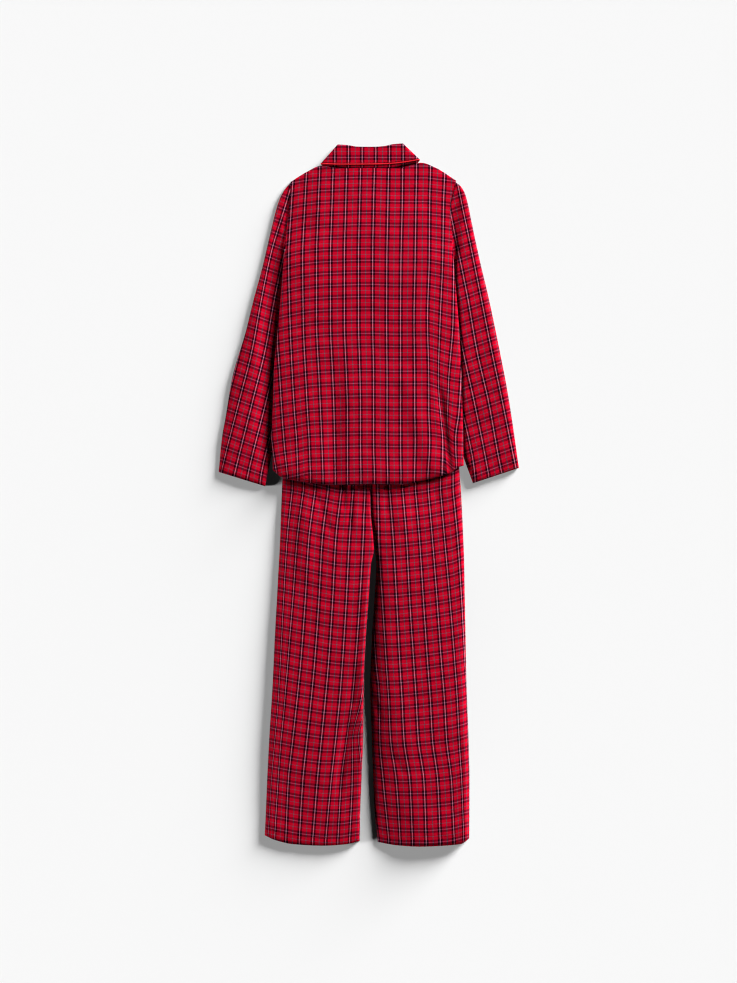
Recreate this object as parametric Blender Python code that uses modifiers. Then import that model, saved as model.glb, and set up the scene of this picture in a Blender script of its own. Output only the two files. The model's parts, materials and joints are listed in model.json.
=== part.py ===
"""Pyjama set laid flat with its back up: a long-sleeved shirt over a pair of straight trousers.

Metres, +Z up.  +X is the wearer's right, +Y runs from the trouser hems to the collar.
The origin is on the surface that the set lies on, under the middle of its outline.
"""
import math
from collections import namedtuple

import bmesh
import bpy

# ---------------------------------------------------------------- driving dimensions
WALL = 0.0015               # brushed cotton with its seam allowances
GAP = 0.0003                # between two pieces that are sewn together or lie on each other
ARMHOLE_GAP = 0.0020        # the same along the armholes, whose two facetted curves differ a little
LAYER = WALL + GAP
CLOTH_HEIGHT = 0.0060       # two panels that lie on each other, with a little air between
SLEEVE_HEIGHT = 0.0066
EDGE_REACH = 0.009          # how far in from a folded side edge the cloth rounds over
EDGE_STEPS = (0.0, 0.0006, 0.0030, 0.0090)
SEAM_RISE = 0.0010          # keeps a rolled edge's inner corner clear of the panel below it
HEM_STEPS = (0.0, 0.003, 0.013)
HEM_DROP = 0.35             # share of its height that a hem's edge sinks
SEAM_DROP = 0.45            # the same along the trousers' centre-back seam
LIFT = 0.0074               # how far sleeves and trousers raise the shirt that lies on them
MIDDLE_RISE = 0.0022        # extra height of the back over the lapped fronts
COLLAR_RISE = 0.0020        # and over the collar's front wings

BUTTON_RADIUS = 0.0065
BUTTON_HEIGHT = 0.0022
BUTTON_FIRST = 0.575        # height of the top button, and the step down to the next
BUTTON_STEP = 0.085
BUTTON_COUNT = 4
STAND_HALF = 0.016          # half the width over which the two fronts lap

NECK_RISE = 0.0038          # room for the collar's front wings under the two fronts
STAND_TOP = 0.0092
FALL_TOP = STAND_TOP + LAYER
PIPING_RADIUS = 0.0015
PIPING_OFFSET = 0.0026      # from the collar's edge to the middle of its piping, at the back
WING_OFFSET = 0.0040        # the same on the slanting edges of the front wings
STAND_INSET = 0.0040        # how much narrower the stand lies than the fall round it
FALL_STEPS = (0.0, 0.0006, 0.0026, 0.0060)
STAND_STEPS = (0.0, 0.0004, 0.0014, 0.0032)

WAIST_WALL = 0.0022
WAIST_HEIGHT = 0.0070
WAIST_STEPS = (0.0, 0.0006, 0.0018, 0.0036)
WAIST_LOW = 0.1418
WAIST_HIGH = 0.1766
WAIST_LEFT = -0.1880
WAIST_RIGHT = 0.1938

BODY_WIDTH = 0.42           # typical widths, which turn an edge's steps into shares
LEG_WIDTH = 0.21
CROTCH = -0.125

CLOTH_RED = (0.30, 0.012, 0.030)
PIPING_RED = (0.55, 0.004, 0.012)
BUTTON_RED = (0.42, 0.015, 0.025)

# ---------------------------------------------------------------- where heights fade in
Fade = namedtuple("Fade", "none full")
OVER_SLEEVE_X = Fade(0.080, 0.145)
OVER_SLEEVE_Y = Fade(0.62, 0.53)
OVER_TROUSERS_Y = Fade(0.32, 0.20)
OVER_WINGS_X = Fade(0.175, 0.120)
OVER_WINGS_Y = Fade(0.57, 0.67)
OVER_BUTTONS_X = Fade(0.100, 0.018)
LAPPED_X = Fade(-0.120, -0.026)
MIDDLE_X = Fade(0.150, 0.040)
BELOW_ARMHOLE_Y = Fade(0.585, 0.555)
NECK_LEFT = Fade(0.160, 0.200)
NECK_RIGHT = Fade(0.815, 0.775)
FOLD_TOP = Fade(0.0, 0.3)
FOLD_FOOT = Fade(1.15, 0.85)
SLEEVE_HEAD = Fade(0.085, 0.0)
ARMHOLE_SEAM = Fade(0.12, 0.0)
LEGS_PARTED_Y = Fade(CROTCH + 0.02, CROTCH - 0.01)

# ---------------------------------------------------------------- tables
Side = namedtuple("Side", "y left right")
BODY_SIDES = (
    Side(0.0570, -0.2205, 0.2191),
    Side(0.0984, -0.2211, 0.2175),
    Side(0.1306, -0.2237, 0.2172),
    Side(0.2042, -0.2207, 0.2150),
    Side(0.2916, -0.2179, 0.2122),
    Side(0.3790, -0.2092, 0.2078),
    Side(0.5400, -0.1954, 0.1949),
    Side(0.6090, -0.1890, 0.1908),
    Side(0.6550, -0.1836, 0.1880),
    Side(0.7206, -0.1800, 0.2007),
)

Hem = namedtuple("Hem", "across y")
SHIRT_HEM = (
    Hem(0.00, 0.0570), Hem(0.05, 0.0398), Hem(0.12, 0.0329), Hem(0.32, 0.0225),
    Hem(0.50, 0.0240), Hem(0.68, 0.0237), Hem(0.78, 0.0320), Hem(0.87, 0.0419),
    Hem(0.93, 0.0501), Hem(0.97, 0.0628), Hem(1.00, 0.0674),
)

Top = namedtuple("Top", "across back front")
SHIRT_TOP = (
    Top(0.000, 0.7206, 0.7206),
    Top(0.094, 0.7424, 0.7424),
    Top(0.184, 0.7570, 0.7570),
    Top(0.287, 0.7516, 0.7240),
    Top(0.500, 0.7516, 0.7000),
    Top(0.668, 0.7516, 0.7240),
    Top(0.791, 0.7640, 0.7640),
    Top(0.874, 0.7533, 0.7533),
    Top(1.000, 0.7254, 0.7254),
)

Ring = namedtuple("Ring", "along outer_x outer_y inner_x inner_y")
SLEEVE_RINGS = {
    "left": (
        Ring(0.00, -0.1822, 0.7186, -0.1945, 0.5650),
        Ring(0.05, -0.2060, 0.6780, -0.1985, 0.5440),
        Ring(0.12, -0.2250, 0.6090, -0.1915, 0.4960),
        Ring(0.25, -0.2460, 0.5200, -0.1680, 0.4480),
        Ring(0.35, -0.2655, 0.4480, -0.1530, 0.4070),
        Ring(0.50, -0.2823, 0.3790, -0.1520, 0.3450),
        Ring(0.66, -0.3147, 0.2675, -0.1850, 0.2300),
        Ring(0.79, -0.3295, 0.1796, -0.2080, 0.1470),
        Ring(0.88, -0.3382, 0.1297, -0.2215, 0.0980),
        Ring(1.00, -0.3456, 0.0524, -0.2386, 0.0196),
    ),
    "right": (
        Ring(0.00, 0.2030, 0.7200, 0.1942, 0.5800),
        Ring(0.05, 0.2225, 0.6895, 0.1978, 0.5480),
        Ring(0.12, 0.2363, 0.6300, 0.1890, 0.5080),
        Ring(0.25, 0.2556, 0.5400, 0.1640, 0.4710),
        Ring(0.35, 0.2772, 0.4480, 0.1480, 0.4070),
        Ring(0.50, 0.3019, 0.3290, 0.1640, 0.3010),
        Ring(0.64, 0.3191, 0.2397, 0.1910, 0.2130),
        Ring(0.86, 0.3378, 0.1180, 0.2170, 0.1050),
        Ring(1.00, 0.3456, 0.0616, 0.2398, 0.0265),
    ),
}

Leg = namedtuple("Leg", "y left_outer left_inner right_inner right_outer")
LEGS = (
    Leg(-0.7986, -0.2402, -0.0208, 0.0204, 0.2313),
    Leg(-0.7457, -0.2377, -0.0201, 0.0144, 0.2317),
    Leg(-0.6606, -0.2343, -0.0167, 0.0102, 0.2320),
    Leg(-0.5594, -0.2292, -0.0128, 0.0070, 0.2297),
    Leg(-0.4421, -0.2218, -0.0116, 0.0033, 0.2253),
    Leg(-0.3317, -0.2168, -0.0066, 0.0070, 0.2230),
    Leg(-0.2305, -0.2110, 0.0008, 0.0137, 0.2211),
    Leg(-0.1615, -0.2073, 0.0052, 0.0171, 0.2198),
    Leg(-0.1247, -0.2053, 0.0128, 0.0136, 0.2188),
    Leg(-0.0948, -0.2039, 0.0107, 0.0110, 0.2175),
    Leg(-0.0442, -0.2021, 0.0052, 0.0055, 0.2152),
    Leg(0.0225, -0.1995, 0.0036, 0.0039, 0.2113),
    Leg(0.1421, -0.1949, 0.0017, 0.0020, 0.2018),
)
LEG_HEMS = {
    "left": (
        Hem(0.00, -0.7838), Hem(0.13, -0.7956), Hem(0.31, -0.8041),
        Hem(0.62, -0.8073), Hem(0.85, -0.8041), Hem(1.00, -0.7963),
    ),
    "right": (
        Hem(0.00, -0.7990), Hem(0.21, -0.8064), Hem(0.45, -0.8091),
        Hem(0.69, -0.8073), Hem(0.91, -0.8030), Hem(1.00, -0.7905),
    ),
}

Fold = namedtuple("Fold", "top_x top_y foot_x foot_y half_width height")
BACK_FOLDS = (
    Fold(0.1640, 0.4600, 0.1780, 0.0900, 0.0240, 0.0022),
    Fold(-0.0580, 0.3000, -0.0500, 0.0450, 0.0300, -0.0014),
)

Collar = namedtuple("Collar", "across back_fold back_edge back_neck front_fold front_edge front_neck")
COLLAR = (
    Collar(0.00, 0.8060, 0.7631, 0.7580, 0.8060, 0.7631, 0.7580),
    Collar(0.15, 0.8045, 0.7615, 0.7560, 0.7900, 0.7250, 0.7420),
    Collar(0.30, 0.8010, 0.7613, 0.7524, 0.7740, 0.6880, 0.7300),
    Collar(0.45, 0.8005, 0.7615, 0.7522, 0.7620, 0.7250, 0.7140),
    Collar(0.55, 0.8005, 0.7618, 0.7522, 0.7620, 0.7250, 0.7140),
    Collar(0.70, 0.8020, 0.7630, 0.7524, 0.7740, 0.6880, 0.7300),
    Collar(0.85, 0.8065, 0.7665, 0.7590, 0.7900, 0.7250, 0.7440),
    Collar(1.00, 0.8085, 0.7723, 0.7650, 0.8085, 0.7723, 0.7650),
)
COLLAR_CENTRE = 0.0035
COLLAR_FOLD_HALF = 0.0755
COLLAR_EDGE_HALF = 0.1134


# ---------------------------------------------------------------- small helpers
def read(rows, key, column, at):
    """Value of a table's column where its key column reads `at`, on a smooth curve."""
    keys = [getattr(row, key) for row in rows]
    values = [getattr(row, column) for row in rows]
    at = min(max(at, keys[0]), keys[-1])
    slopes = [(values[n + 1] - values[n]) / (keys[n + 1] - keys[n]) for n in range(len(rows) - 1)]
    n = next(n for n in range(len(slopes)) if at <= keys[n + 1])
    start = level_slope(slopes[n - 1], slopes[n]) if n else slopes[0]
    end = level_slope(slopes[n], slopes[n + 1]) if n + 1 < len(slopes) else slopes[-1]
    span = keys[n + 1] - keys[n]
    return hermite(values[n], values[n + 1], start * span, end * span, (at - keys[n]) / span)


def level_slope(before, after):
    """Slope at a table row: none at a turning point, else the harmonic mean of its sides."""
    return 0.0 if before * after <= 0 else 2 * before * after / (before + after)


def hermite(start, end, leave, arrive, t):
    """Cubic from start to end with the given slopes."""
    return ((2 * t ** 3 - 3 * t ** 2 + 1) * start + (t ** 3 - 2 * t ** 2 + t) * leave
            + (3 * t ** 2 - 2 * t ** 3) * end + (t ** 3 - t ** 2) * arrive)


def fade(zone, at):
    """0 at the zone's `none` and beyond it, 1 at its `full` and beyond, an S-curve between."""
    t = min(max((at - zone.none) / (zone.full - zone.none), 0.0), 1.0)
    return t * t * (3 - 2 * t)


def mix(first, second, share):
    return first + (second - first) * share


def rounded(distance, reach=EDGE_REACH):
    """Height share of a rounded edge: 0 on the edge, 1 at `reach` from it."""
    inward = 1.0 - min(max(distance / reach, 0.0), 1.0)
    return math.sqrt(1.0 - inward * inward)


def stations(inner, first=EDGE_STEPS, last=EDGE_STEPS):
    """Places across a panel as (share of the width, distance past it)."""
    return ([(0.0, step) for step in first] + [(share, 0.0) for share in inner]
            + [(1.0, -step) for step in reversed(last)])


def evenly(count, low=0.0, high=1.0):
    """Shares that part the stretch from low to high into equal cells, without its ends."""
    return [mix(low, high, n / count) for n in range(1, count)]


# ---------------------------------------------------------------- how high the shirt lies
def shirt_lift(x, y):
    """Height of the shirt's underside over the sleeves at its sides and the trousers."""
    over_sleeve = fade(OVER_SLEEVE_X, abs(x)) * fade(OVER_SLEEVE_Y, y)
    over_trousers = fade(OVER_TROUSERS_Y, y)
    return LIFT * (1 - (1 - over_sleeve) * (1 - over_trousers))


def neck_share(x, y):
    """1 where the collar's wings lie under the fronts, 0 well away from them."""
    return fade(OVER_WINGS_X, abs(x)) * fade(OVER_WINGS_Y, y)


def front_underlay(x, y):
    """Height of what lies under the outer front: the buttons, and the collar's wings."""
    buttons = (BUTTON_HEIGHT + GAP) * fade(OVER_BUTTONS_X, abs(x))
    return mix(buttons, NECK_RISE, neck_share(x, y))


def front_right_height(x, y):
    return shirt_lift(x, y) + front_underlay(x, y)


def front_left_height(x, y):
    lap = LAYER * fade(LAPPED_X, x)
    return front_right_height(x, y) + lap


def fold_height(fold, x, y):
    """Rise or dip of a long soft fold that fades towards both its ends."""
    along = (fold.top_y - y) / (fold.top_y - fold.foot_y)
    beside = abs(x - mix(fold.top_x, fold.foot_x, along))
    return (fold.height * fade(FOLD_TOP, along) * fade(FOLD_FOOT, along)
            * fade(Fade(fold.half_width, 0.0), beside))


def back_height(x, y):
    """Top of the shirt's back where no edge is near."""
    middle = MIDDLE_RISE * fade(MIDDLE_X, abs(x)) + COLLAR_RISE * neck_share(x, y)
    folds = sum(fold_height(fold, x, y) for fold in BACK_FOLDS)
    return shirt_lift(x, y) + CLOTH_HEIGHT + middle + folds


# ---------------------------------------------------------------- making cloth
def material(name, colour, roughness):
    finish = bpy.data.materials.new(name)
    finish.use_nodes = True
    shader = finish.node_tree.nodes["Principled BSDF"]
    shader.inputs["Base Color"].default_value = (*colour, 1.0)
    shader.inputs["Roughness"].default_value = roughness
    shader.inputs["Metallic"].default_value = 0.0
    return finish


def add_object(name, shape, colour, roughness=0.9):
    """Turn a bmesh into an object of the pyjama set, with a material of its own."""
    mesh = bpy.data.meshes.new(name)
    shape.to_mesh(mesh)
    shape.free()
    made = bpy.data.objects.new(name, mesh)
    made.data.materials.append(material(name + "_finish", colour, roughness))
    pyjamas.objects.link(made)
    return made


def cloth(name, across, along, place, wall=WALL, flip=False, tube=False):
    """A panel or tube: a grid laid by `place(across, along)`, given its wall on the inner side."""
    shape = bmesh.new()
    bmesh.ops.create_grid(shape, x_segments=len(across) - 1, y_segments=len(along) - 1, size=0.5)
    for vert in shape.verts:
        column = round((vert.co.x + 0.5) * (len(across) - 1))
        row = round((vert.co.y + 0.5) * (len(along) - 1))
        vert.co = place(across[column], along[row])
    if tube:
        bmesh.ops.remove_doubles(shape, verts=shape.verts, dist=0.00002)
    if flip:
        bmesh.ops.reverse_faces(shape, faces=shape.faces)
    made = add_object(name, shape, CLOTH_RED)
    thickness = made.modifiers.new("Wall", "SOLIDIFY")
    thickness.thickness = wall
    thickness.offset = -1.0
    thickness.use_even_offset = not tube
    return made


# ---------------------------------------------------------------- shirt body
BODY_SHARES = [0.10, 0.184, 0.235, 0.287, 0.34, 0.39, 0.46, 0.54, 0.62, 0.70, 0.745, 0.791, 0.84,
               0.885, 0.93]
BODY_ROWS = stations(evenly(13), first=HEM_STEPS, last=EDGE_STEPS)


def body_place(column, row, top_line):
    """Plan position of a grid point of the body, and its distance from each edge."""
    share, inset = column
    height_share, rise = row
    across = share + inset / BODY_WIDTH
    low = read(SHIRT_HEM, "across", "y", across)
    high = read(SHIRT_TOP, "across", top_line, across)
    y = mix(low, high, height_share) + rise
    left = read(BODY_SIDES, "y", "left", y)
    right = read(BODY_SIDES, "y", "right", y)
    x = mix(left, right, share) + inset
    return x, y, min(x - left, right - x), high - y, y - low


def shirt_back_point(column, row):
    x, y, from_side, from_top, from_hem = body_place(column, row, "back")
    share = column[0] + column[1] / BODY_WIDTH
    on_shoulder = 1 - fade(NECK_LEFT, share) * fade(NECK_RIGHT, share)
    open_height = 1 - fade(BELOW_ARMHOLE_Y, y) * (1 - rounded(from_side))
    open_height *= 1 - on_shoulder * (1 - rounded(from_top))
    open_height *= 1 - HEM_DROP * (1 - rounded(from_hem, HEM_STEPS[-1]))
    seam = front_left_height(x, y) + WALL + GAP + SEAM_RISE
    return x, y, mix(seam, back_height(x, y), open_height)


def shirt_front_left_point(column, row):
    x, y, *_ = body_place(column, row, "front")
    return x, y, front_left_height(x, y)


def shirt_front_right_point(column, row):
    x, y, *_ = body_place(column, row, "front")
    return x, y, front_right_height(x, y)


def make_body():
    back_columns = stations(BODY_SHARES)
    lap = STAND_HALF / BODY_WIDTH
    left_shares = [share for share in BODY_SHARES if share < 0.5 + lap]
    right_shares = [share for share in BODY_SHARES if share > 0.5 - lap]
    edge = [(0.0, 0.0), (0.0, EDGE_REACH)]
    left_columns = edge + [(share, 0.0) for share in left_shares] + [(0.5 + lap, 0.0)]
    right_columns = ([(0.5 - lap, 0.0)] + [(share, 0.0) for share in right_shares]
                     + [(1.0, -EDGE_REACH), (1.0, 0.0)])
    front_rows = [row for row in BODY_ROWS if row[0] not in (0.0, 1.0) or row[1] == 0.0]
    cloth("shirt_back", back_columns, BODY_ROWS, shirt_back_point)
    cloth("shirt_front_left", left_columns, front_rows, shirt_front_left_point, flip=True)
    cloth("shirt_front_right", right_columns, front_rows, shirt_front_right_point, flip=True)


# ---------------------------------------------------------------- sleeves
def around(inner_top, inner_bottom, steps):
    """Places round a flattened tube as (share, distance past it, layer): top, then underneath."""
    top = [(share, step, 1) for share, step in stations(inner_top, steps, steps)]
    under = [(share, step, -1) for share, step in stations(inner_bottom, steps, steps)]
    return top + under[::-1][1:]


SLEEVE_STEPS = (0.0, 0.0012, 0.0060)
SLEEVE_AROUND = around([0.25, 0.5, 0.75], [0.25, 0.5, 0.75], SLEEVE_STEPS)
SLEEVE_ALONG = [0.0, 0.02, 0.05, 0.085, 0.12, 0.16] + evenly(12, 0.16, 1.0) + [1.0]


def across_ring(rings, along, share, step):
    """Plan position of a point across a flattened sleeve, and its distance from the nearer edge."""
    outer = [read(rings, "along", name, along) for name in ("outer_x", "outer_y")]
    inner = [read(rings, "along", name, along) for name in ("inner_x", "inner_y")]
    width = math.hypot(inner[0] - outer[0], inner[1] - outer[1])
    across = share + step / width
    return mix(outer[0], inner[0], across), mix(outer[1], inner[1], across), min(across, 1 - across) * width


def sleeve_point(side):
    """Points of a sleeve, whose head follows the body's side edge as a sewn armhole does."""
    rings = SLEEVE_RINGS[side]
    outward = -1 if side == "left" else 1

    def place(station, along):
        share, step, layer = station
        x, y, from_edge = across_ring(rings, along, share, step)
        head_x, head_y, _ = across_ring(rings, 0.0, share, step)
        armhole = read(BODY_SIDES, "y", side, head_y) + outward * ARMHOLE_GAP
        x += (armhole - head_x) * fade(ARMHOLE_SEAM, along)
        base = shirt_lift(x, y) * fade(SLEEVE_HEAD, along)
        half = SLEEVE_HEIGHT / 2
        return x, y, base + half + layer * half * rounded(from_edge, SLEEVE_STEPS[-1])

    return place


def make_sleeves():
    for side, flip in (("left", True), ("right", False)):
        cloth("sleeve_" + side, SLEEVE_AROUND, SLEEVE_ALONG, sleeve_point(side), flip=flip, tube=True)


# ---------------------------------------------------------------- collar
def collar_place(station, down, lines, inset, low, high, reach):
    """A point of a collar ring; `down` runs from the fold to the lower line."""
    share, step, layer = station
    half = mix(COLLAR_FOLD_HALF, COLLAR_EDGE_HALF, down) - inset
    across = share + step / (2 * half)
    face = "back" if layer > 0 else "front"
    fold_y = read(COLLAR, "across", face + "_fold", across)
    edge_y = read(COLLAR, "across", face + "_" + lines, across)
    x = COLLAR_CENTRE + mix(-half, half, across)
    middle, depth = (low + high) / 2, (high - low) / 2
    from_edge = min(across, 1 - across) * 2 * half
    return x, mix(fold_y, edge_y, down), middle + layer * depth * rounded(from_edge, reach)


def fall_point(station, down):
    return collar_place(station, down, "edge", 0.0, 0.0, FALL_TOP, FALL_STEPS[-1])


def stand_point(station, down):
    low = mix(LAYER, NECK_RISE, down)
    return collar_place(station, down, "neck", STAND_INSET, low, STAND_TOP, STAND_STEPS[-1])


WING_SHARES = (0.44, 0.36, 0.30, 0.22, 0.12)
FALL_ROWS = (1.0, 0.75, 0.5, 0.25, 0.0)
STAND_ROWS = (1.0, 0.66, 0.33, 0.04)


def collar_around(steps):
    """Round the neck from the left wing's end, over the back, to the right wing's end."""
    wing = [(share, 0.0, -1) for share in WING_SHARES]
    left = wing + [(0.0, step, -1) for step in steps[:0:-1]] + [(0.0, 0.0, 1)]
    back = [(0.0, step, 1) for step in steps[1:]] + [(share, 0.0, 1) for share in evenly(9)]
    right = [(1.0, -step, 1) for step in steps[::-1]]
    right += [(1.0, -step, -1) for step in steps[1:]]
    right += [(1 - share, 0.0, layer) for share, _, layer in wing[::-1]]
    return left + back + right


def make_collar():
    cloth("collar_fall", collar_around(FALL_STEPS), FALL_ROWS, fall_point)
    cloth("collar_stand", collar_around(STAND_STEPS), STAND_ROWS, stand_point)
    make_piping(collar_around(FALL_STEPS))


def make_piping(route):
    """The cord round the collar's outer edge, just past it."""
    low, high = PIPING_RADIUS, STAND_TOP + GAP + PIPING_RADIUS
    path = bpy.data.curves.new("collar_piping", "CURVE")
    path.dimensions = "3D"
    path.bevel_depth = PIPING_RADIUS
    path.bevel_resolution = 1
    path.use_fill_caps = True
    spline = path.splines.new("POLY")
    spline.points.add(len(route) - 1)
    for point, station in zip(spline.points, route):
        x, y, z = collar_place(station, 1.0, "edge", WALL / 2, low, high, FALL_STEPS[-1])
        offset = mix(WING_OFFSET, PIPING_OFFSET, (z - low) / (high - low))
        point.co = (x, y - offset, z, 1.0)
    made = bpy.data.objects.new("collar_piping", path)
    made.data.materials.append(material("collar_piping_finish", PIPING_RED, 0.7))
    pyjamas.objects.link(made)


def make_buttons():
    for number in range(BUTTON_COUNT):
        y = BUTTON_FIRST - number * BUTTON_STEP
        shape = bmesh.new()
        bmesh.ops.create_cone(shape, cap_ends=True, segments=24, radius1=BUTTON_RADIUS,
                              radius2=BUTTON_RADIUS, depth=BUTTON_HEIGHT)
        made = add_object("button_%d" % (number + 1), shape, BUTTON_RED, roughness=0.35)
        made.location = (0.0, y, BUTTON_HEIGHT / 2)


# ---------------------------------------------------------------- trousers
LEG_ROWS = stations(evenly(18), first=HEM_STEPS, last=(0.0,))
LEG_COLUMNS = stations(evenly(5))


def leg_place(side, column, row):
    """Plan position of a grid point of a leg, and its distance from each edge."""
    share, inset = column
    height_share, rise = row
    low = read(LEG_HEMS[side], "across", "y", share + inset / LEG_WIDTH)
    y = mix(low, WAIST_LOW - GAP, height_share) + rise
    names = ("left_outer", "left_inner") if side == "left" else ("right_inner", "right_outer")
    left, right = [read(LEGS, "y", name, y) for name in names]
    x = mix(left, right, share) + inset
    outer, inner = (x - left, right - x) if side == "left" else (right - x, x - left)
    return x, y, outer, inner, y - low


def leg_back_point(side):
    def place(column, row):
        x, y, from_outer, from_inner, from_hem = leg_place(side, column, row)
        parted = mix(SEAM_DROP, 1.0, fade(LEGS_PARTED_Y, y))
        open_height = rounded(from_outer) * (1 - parted * (1 - rounded(from_inner)))
        open_height *= 1 - HEM_DROP * (1 - rounded(from_hem, HEM_STEPS[-1]))
        return x, y, mix(WALL + GAP + SEAM_RISE, CLOTH_HEIGHT, open_height)

    return place


def leg_front_point(side):
    def place(column, row):
        x, y, *_ = leg_place(side, column, row)
        return x, y, 0.0

    return place


def waistband_point(station, y):
    share, step, layer = station
    x = mix(WAIST_LEFT, WAIST_RIGHT, share) + step
    half = WAIST_HEIGHT / 2
    from_edge = min(x - WAIST_LEFT, WAIST_RIGHT - x)
    return x, y, half + layer * half * rounded(from_edge, WAIST_STEPS[-1])


def make_trousers():
    front_columns = [(0.0, 0.0)] + [(share, 0.0) for share in evenly(5)] + [(1.0, 0.0)]
    front_rows = [row for row in LEG_ROWS if row[0] > 0.0 or row[1] == 0.0]
    for side in ("left", "right"):
        cloth("trouser_back_" + side, LEG_COLUMNS, LEG_ROWS, leg_back_point(side))
        cloth("trouser_front_" + side, front_columns, front_rows, leg_front_point(side), flip=True)
    waist_around = around(evenly(10), evenly(8), WAIST_STEPS)
    waist_rows = [WAIST_LOW, mix(WAIST_LOW, WAIST_HIGH, 0.5), WAIST_HIGH]
    cloth("waistband", waist_around, waist_rows, waistband_point, wall=WAIST_WALL, tube=True)


# ---------------------------------------------------------------- the whole set
for old in list(bpy.data.objects):
    bpy.data.objects.remove(old, do_unlink=True)
pyjamas = bpy.data.collections.new("pyjama_set")
bpy.context.scene.collection.children.link(pyjamas)
make_body()
make_sleeves()
make_collar()
make_buttons()
make_trousers()
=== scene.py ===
# %% [markdown]
# # A pyjama set, laid flat with its back up
# The set is a long-sleeved shirt with a piped collar, laid over a pair of straight trousers, all in
# one brushed red check. A maker cuts every panel from flat cloth, so every panel here is a grid of
# points that is laid into place and then given the thickness of its cloth.
# The imported solids say where each piece lies and how large it is. This script puts a finer piece on
# each of them, in the same metres and on the same axes: +Y runs from the hems to the collar, +X is
# the wearer's right and +Z points up out of the surface.

# %% The frame, and the solids imported from the model
import json
import math
from collections import namedtuple

import bmesh
import bpy
import numpy as np
from mathutils import Euler, Matrix, Vector

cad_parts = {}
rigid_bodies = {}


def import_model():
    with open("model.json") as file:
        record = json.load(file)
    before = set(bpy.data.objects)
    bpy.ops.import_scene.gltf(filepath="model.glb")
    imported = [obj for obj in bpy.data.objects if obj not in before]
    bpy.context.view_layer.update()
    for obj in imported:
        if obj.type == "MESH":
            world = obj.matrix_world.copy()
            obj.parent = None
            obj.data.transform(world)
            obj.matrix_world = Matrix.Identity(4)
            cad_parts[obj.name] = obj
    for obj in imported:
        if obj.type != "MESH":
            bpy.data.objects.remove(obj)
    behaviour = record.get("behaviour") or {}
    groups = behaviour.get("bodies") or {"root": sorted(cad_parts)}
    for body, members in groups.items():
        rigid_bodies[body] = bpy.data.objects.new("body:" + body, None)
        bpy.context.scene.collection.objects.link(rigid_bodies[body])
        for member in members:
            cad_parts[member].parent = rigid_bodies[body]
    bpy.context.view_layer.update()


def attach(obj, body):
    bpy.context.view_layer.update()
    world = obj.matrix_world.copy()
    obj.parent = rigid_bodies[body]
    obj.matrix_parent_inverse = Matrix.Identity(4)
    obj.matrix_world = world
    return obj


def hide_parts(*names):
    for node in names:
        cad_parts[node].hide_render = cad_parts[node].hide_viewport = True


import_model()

# %% [markdown]
# ## Reading a table on a smooth curve
# An outline is drawn as a pattern cutter would: a few measured rows, joined by a smooth line. It
# could be a Bezier curve, but a table is easier to read and to correct. The reader below works on
# whole arrays of points at once, because a panel has many thousands.

# %% Helpers that read tables and blend heights
def level_slopes(keys, values):
    """Slope at each row: none at a turning point, else the harmonic mean of its two sides."""
    slopes = np.diff(values) / np.diff(keys)
    before, after = slopes[:-1], slopes[1:]
    together = np.where(before * after > 0, before + after, 1.0)
    inner = np.where(before * after > 0, 2 * before * after / together, 0.0)
    return np.concatenate((slopes[:1], inner, slopes[-1:]))


def read(rows, key, column, at):
    """Values of a table's column where its key column reads `at`, on a smooth curve."""
    keys = np.array([getattr(row, key) for row in rows])
    values = np.array([getattr(row, column) for row in rows])
    slopes = level_slopes(keys, values)
    at = np.clip(at, keys[0], keys[-1])
    n = np.clip(np.searchsorted(keys, at, side="right") - 1, 0, len(keys) - 2)
    span = keys[n + 1] - keys[n]
    t = (at - keys[n]) / span
    rest = 1 - t
    return ((1 + 2 * t) * rest ** 2 * values[n] + t * rest ** 2 * slopes[n] * span
            + t ** 2 * (3 - 2 * t) * values[n + 1] - t ** 2 * rest * slopes[n + 1] * span)


def fade(none, full, at):
    """0 at `none` and beyond it, 1 at `full` and beyond, an S-curve between."""
    t = np.clip((at - none) / (full - none), 0.0, 1.0)
    return t * t * (3 - 2 * t)


def mix(first, second, share):
    return first + (second - first) * share


def rounded(distance, reach):
    """Height share of a rounded edge: 0 on the edge, 1 at `reach` from it."""
    inward = 1.0 - np.clip(distance / reach, 0.0, 1.0)
    return np.sqrt(1.0 - inward * inward)


print("a smooth step from 0 to 1 is", float(fade(0.0, 1.0, 0.25)), "a quarter of the way along")

# %% [markdown]
# ## A panel of cloth
# `bmesh.ops.create_grid` makes the flat cloth. Its points are then laid into place all at once, each
# one keeps its place in the weave as a UV coordinate, and a Solidify modifier gives the wall. The
# grid is finer near its edges, where the cloth rolls over.

# %% Sizes of the cloth, and the maker of every panel
WALL = 0.0011
GAP = 0.0003
CELL = 0.0042
STRIPE_PITCH = 0.032
LINE_PITCH = 0.028
WEAVE = "weave"


def arc_steps(reach, count):
    """Distances from an edge that split a rounding of this reach into equal turns."""
    return [reach * (1 - math.cos(math.pi / 2 * n / count)) for n in range(count + 1)]


def stations(width, first, last, cell=CELL):
    """Places across a panel, as shares of its width and distances past them."""
    first_reach = first[-1] / width
    last_reach = last[-1] / width
    count = max(2, round(width * (1 - first_reach - last_reach) / cell))
    inner = np.linspace(first_reach, 1 - last_reach, count + 1)[1:-1]
    shares = np.concatenate((np.zeros(len(first)), inner, np.ones(len(last))))
    insets = np.concatenate((first, np.zeros(count - 1), -np.array(last[::-1])))
    return np.stack((shares, insets), axis=1)


STEEP = 1.12                # how much longer than in plan a step may be before the weave runs on


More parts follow.
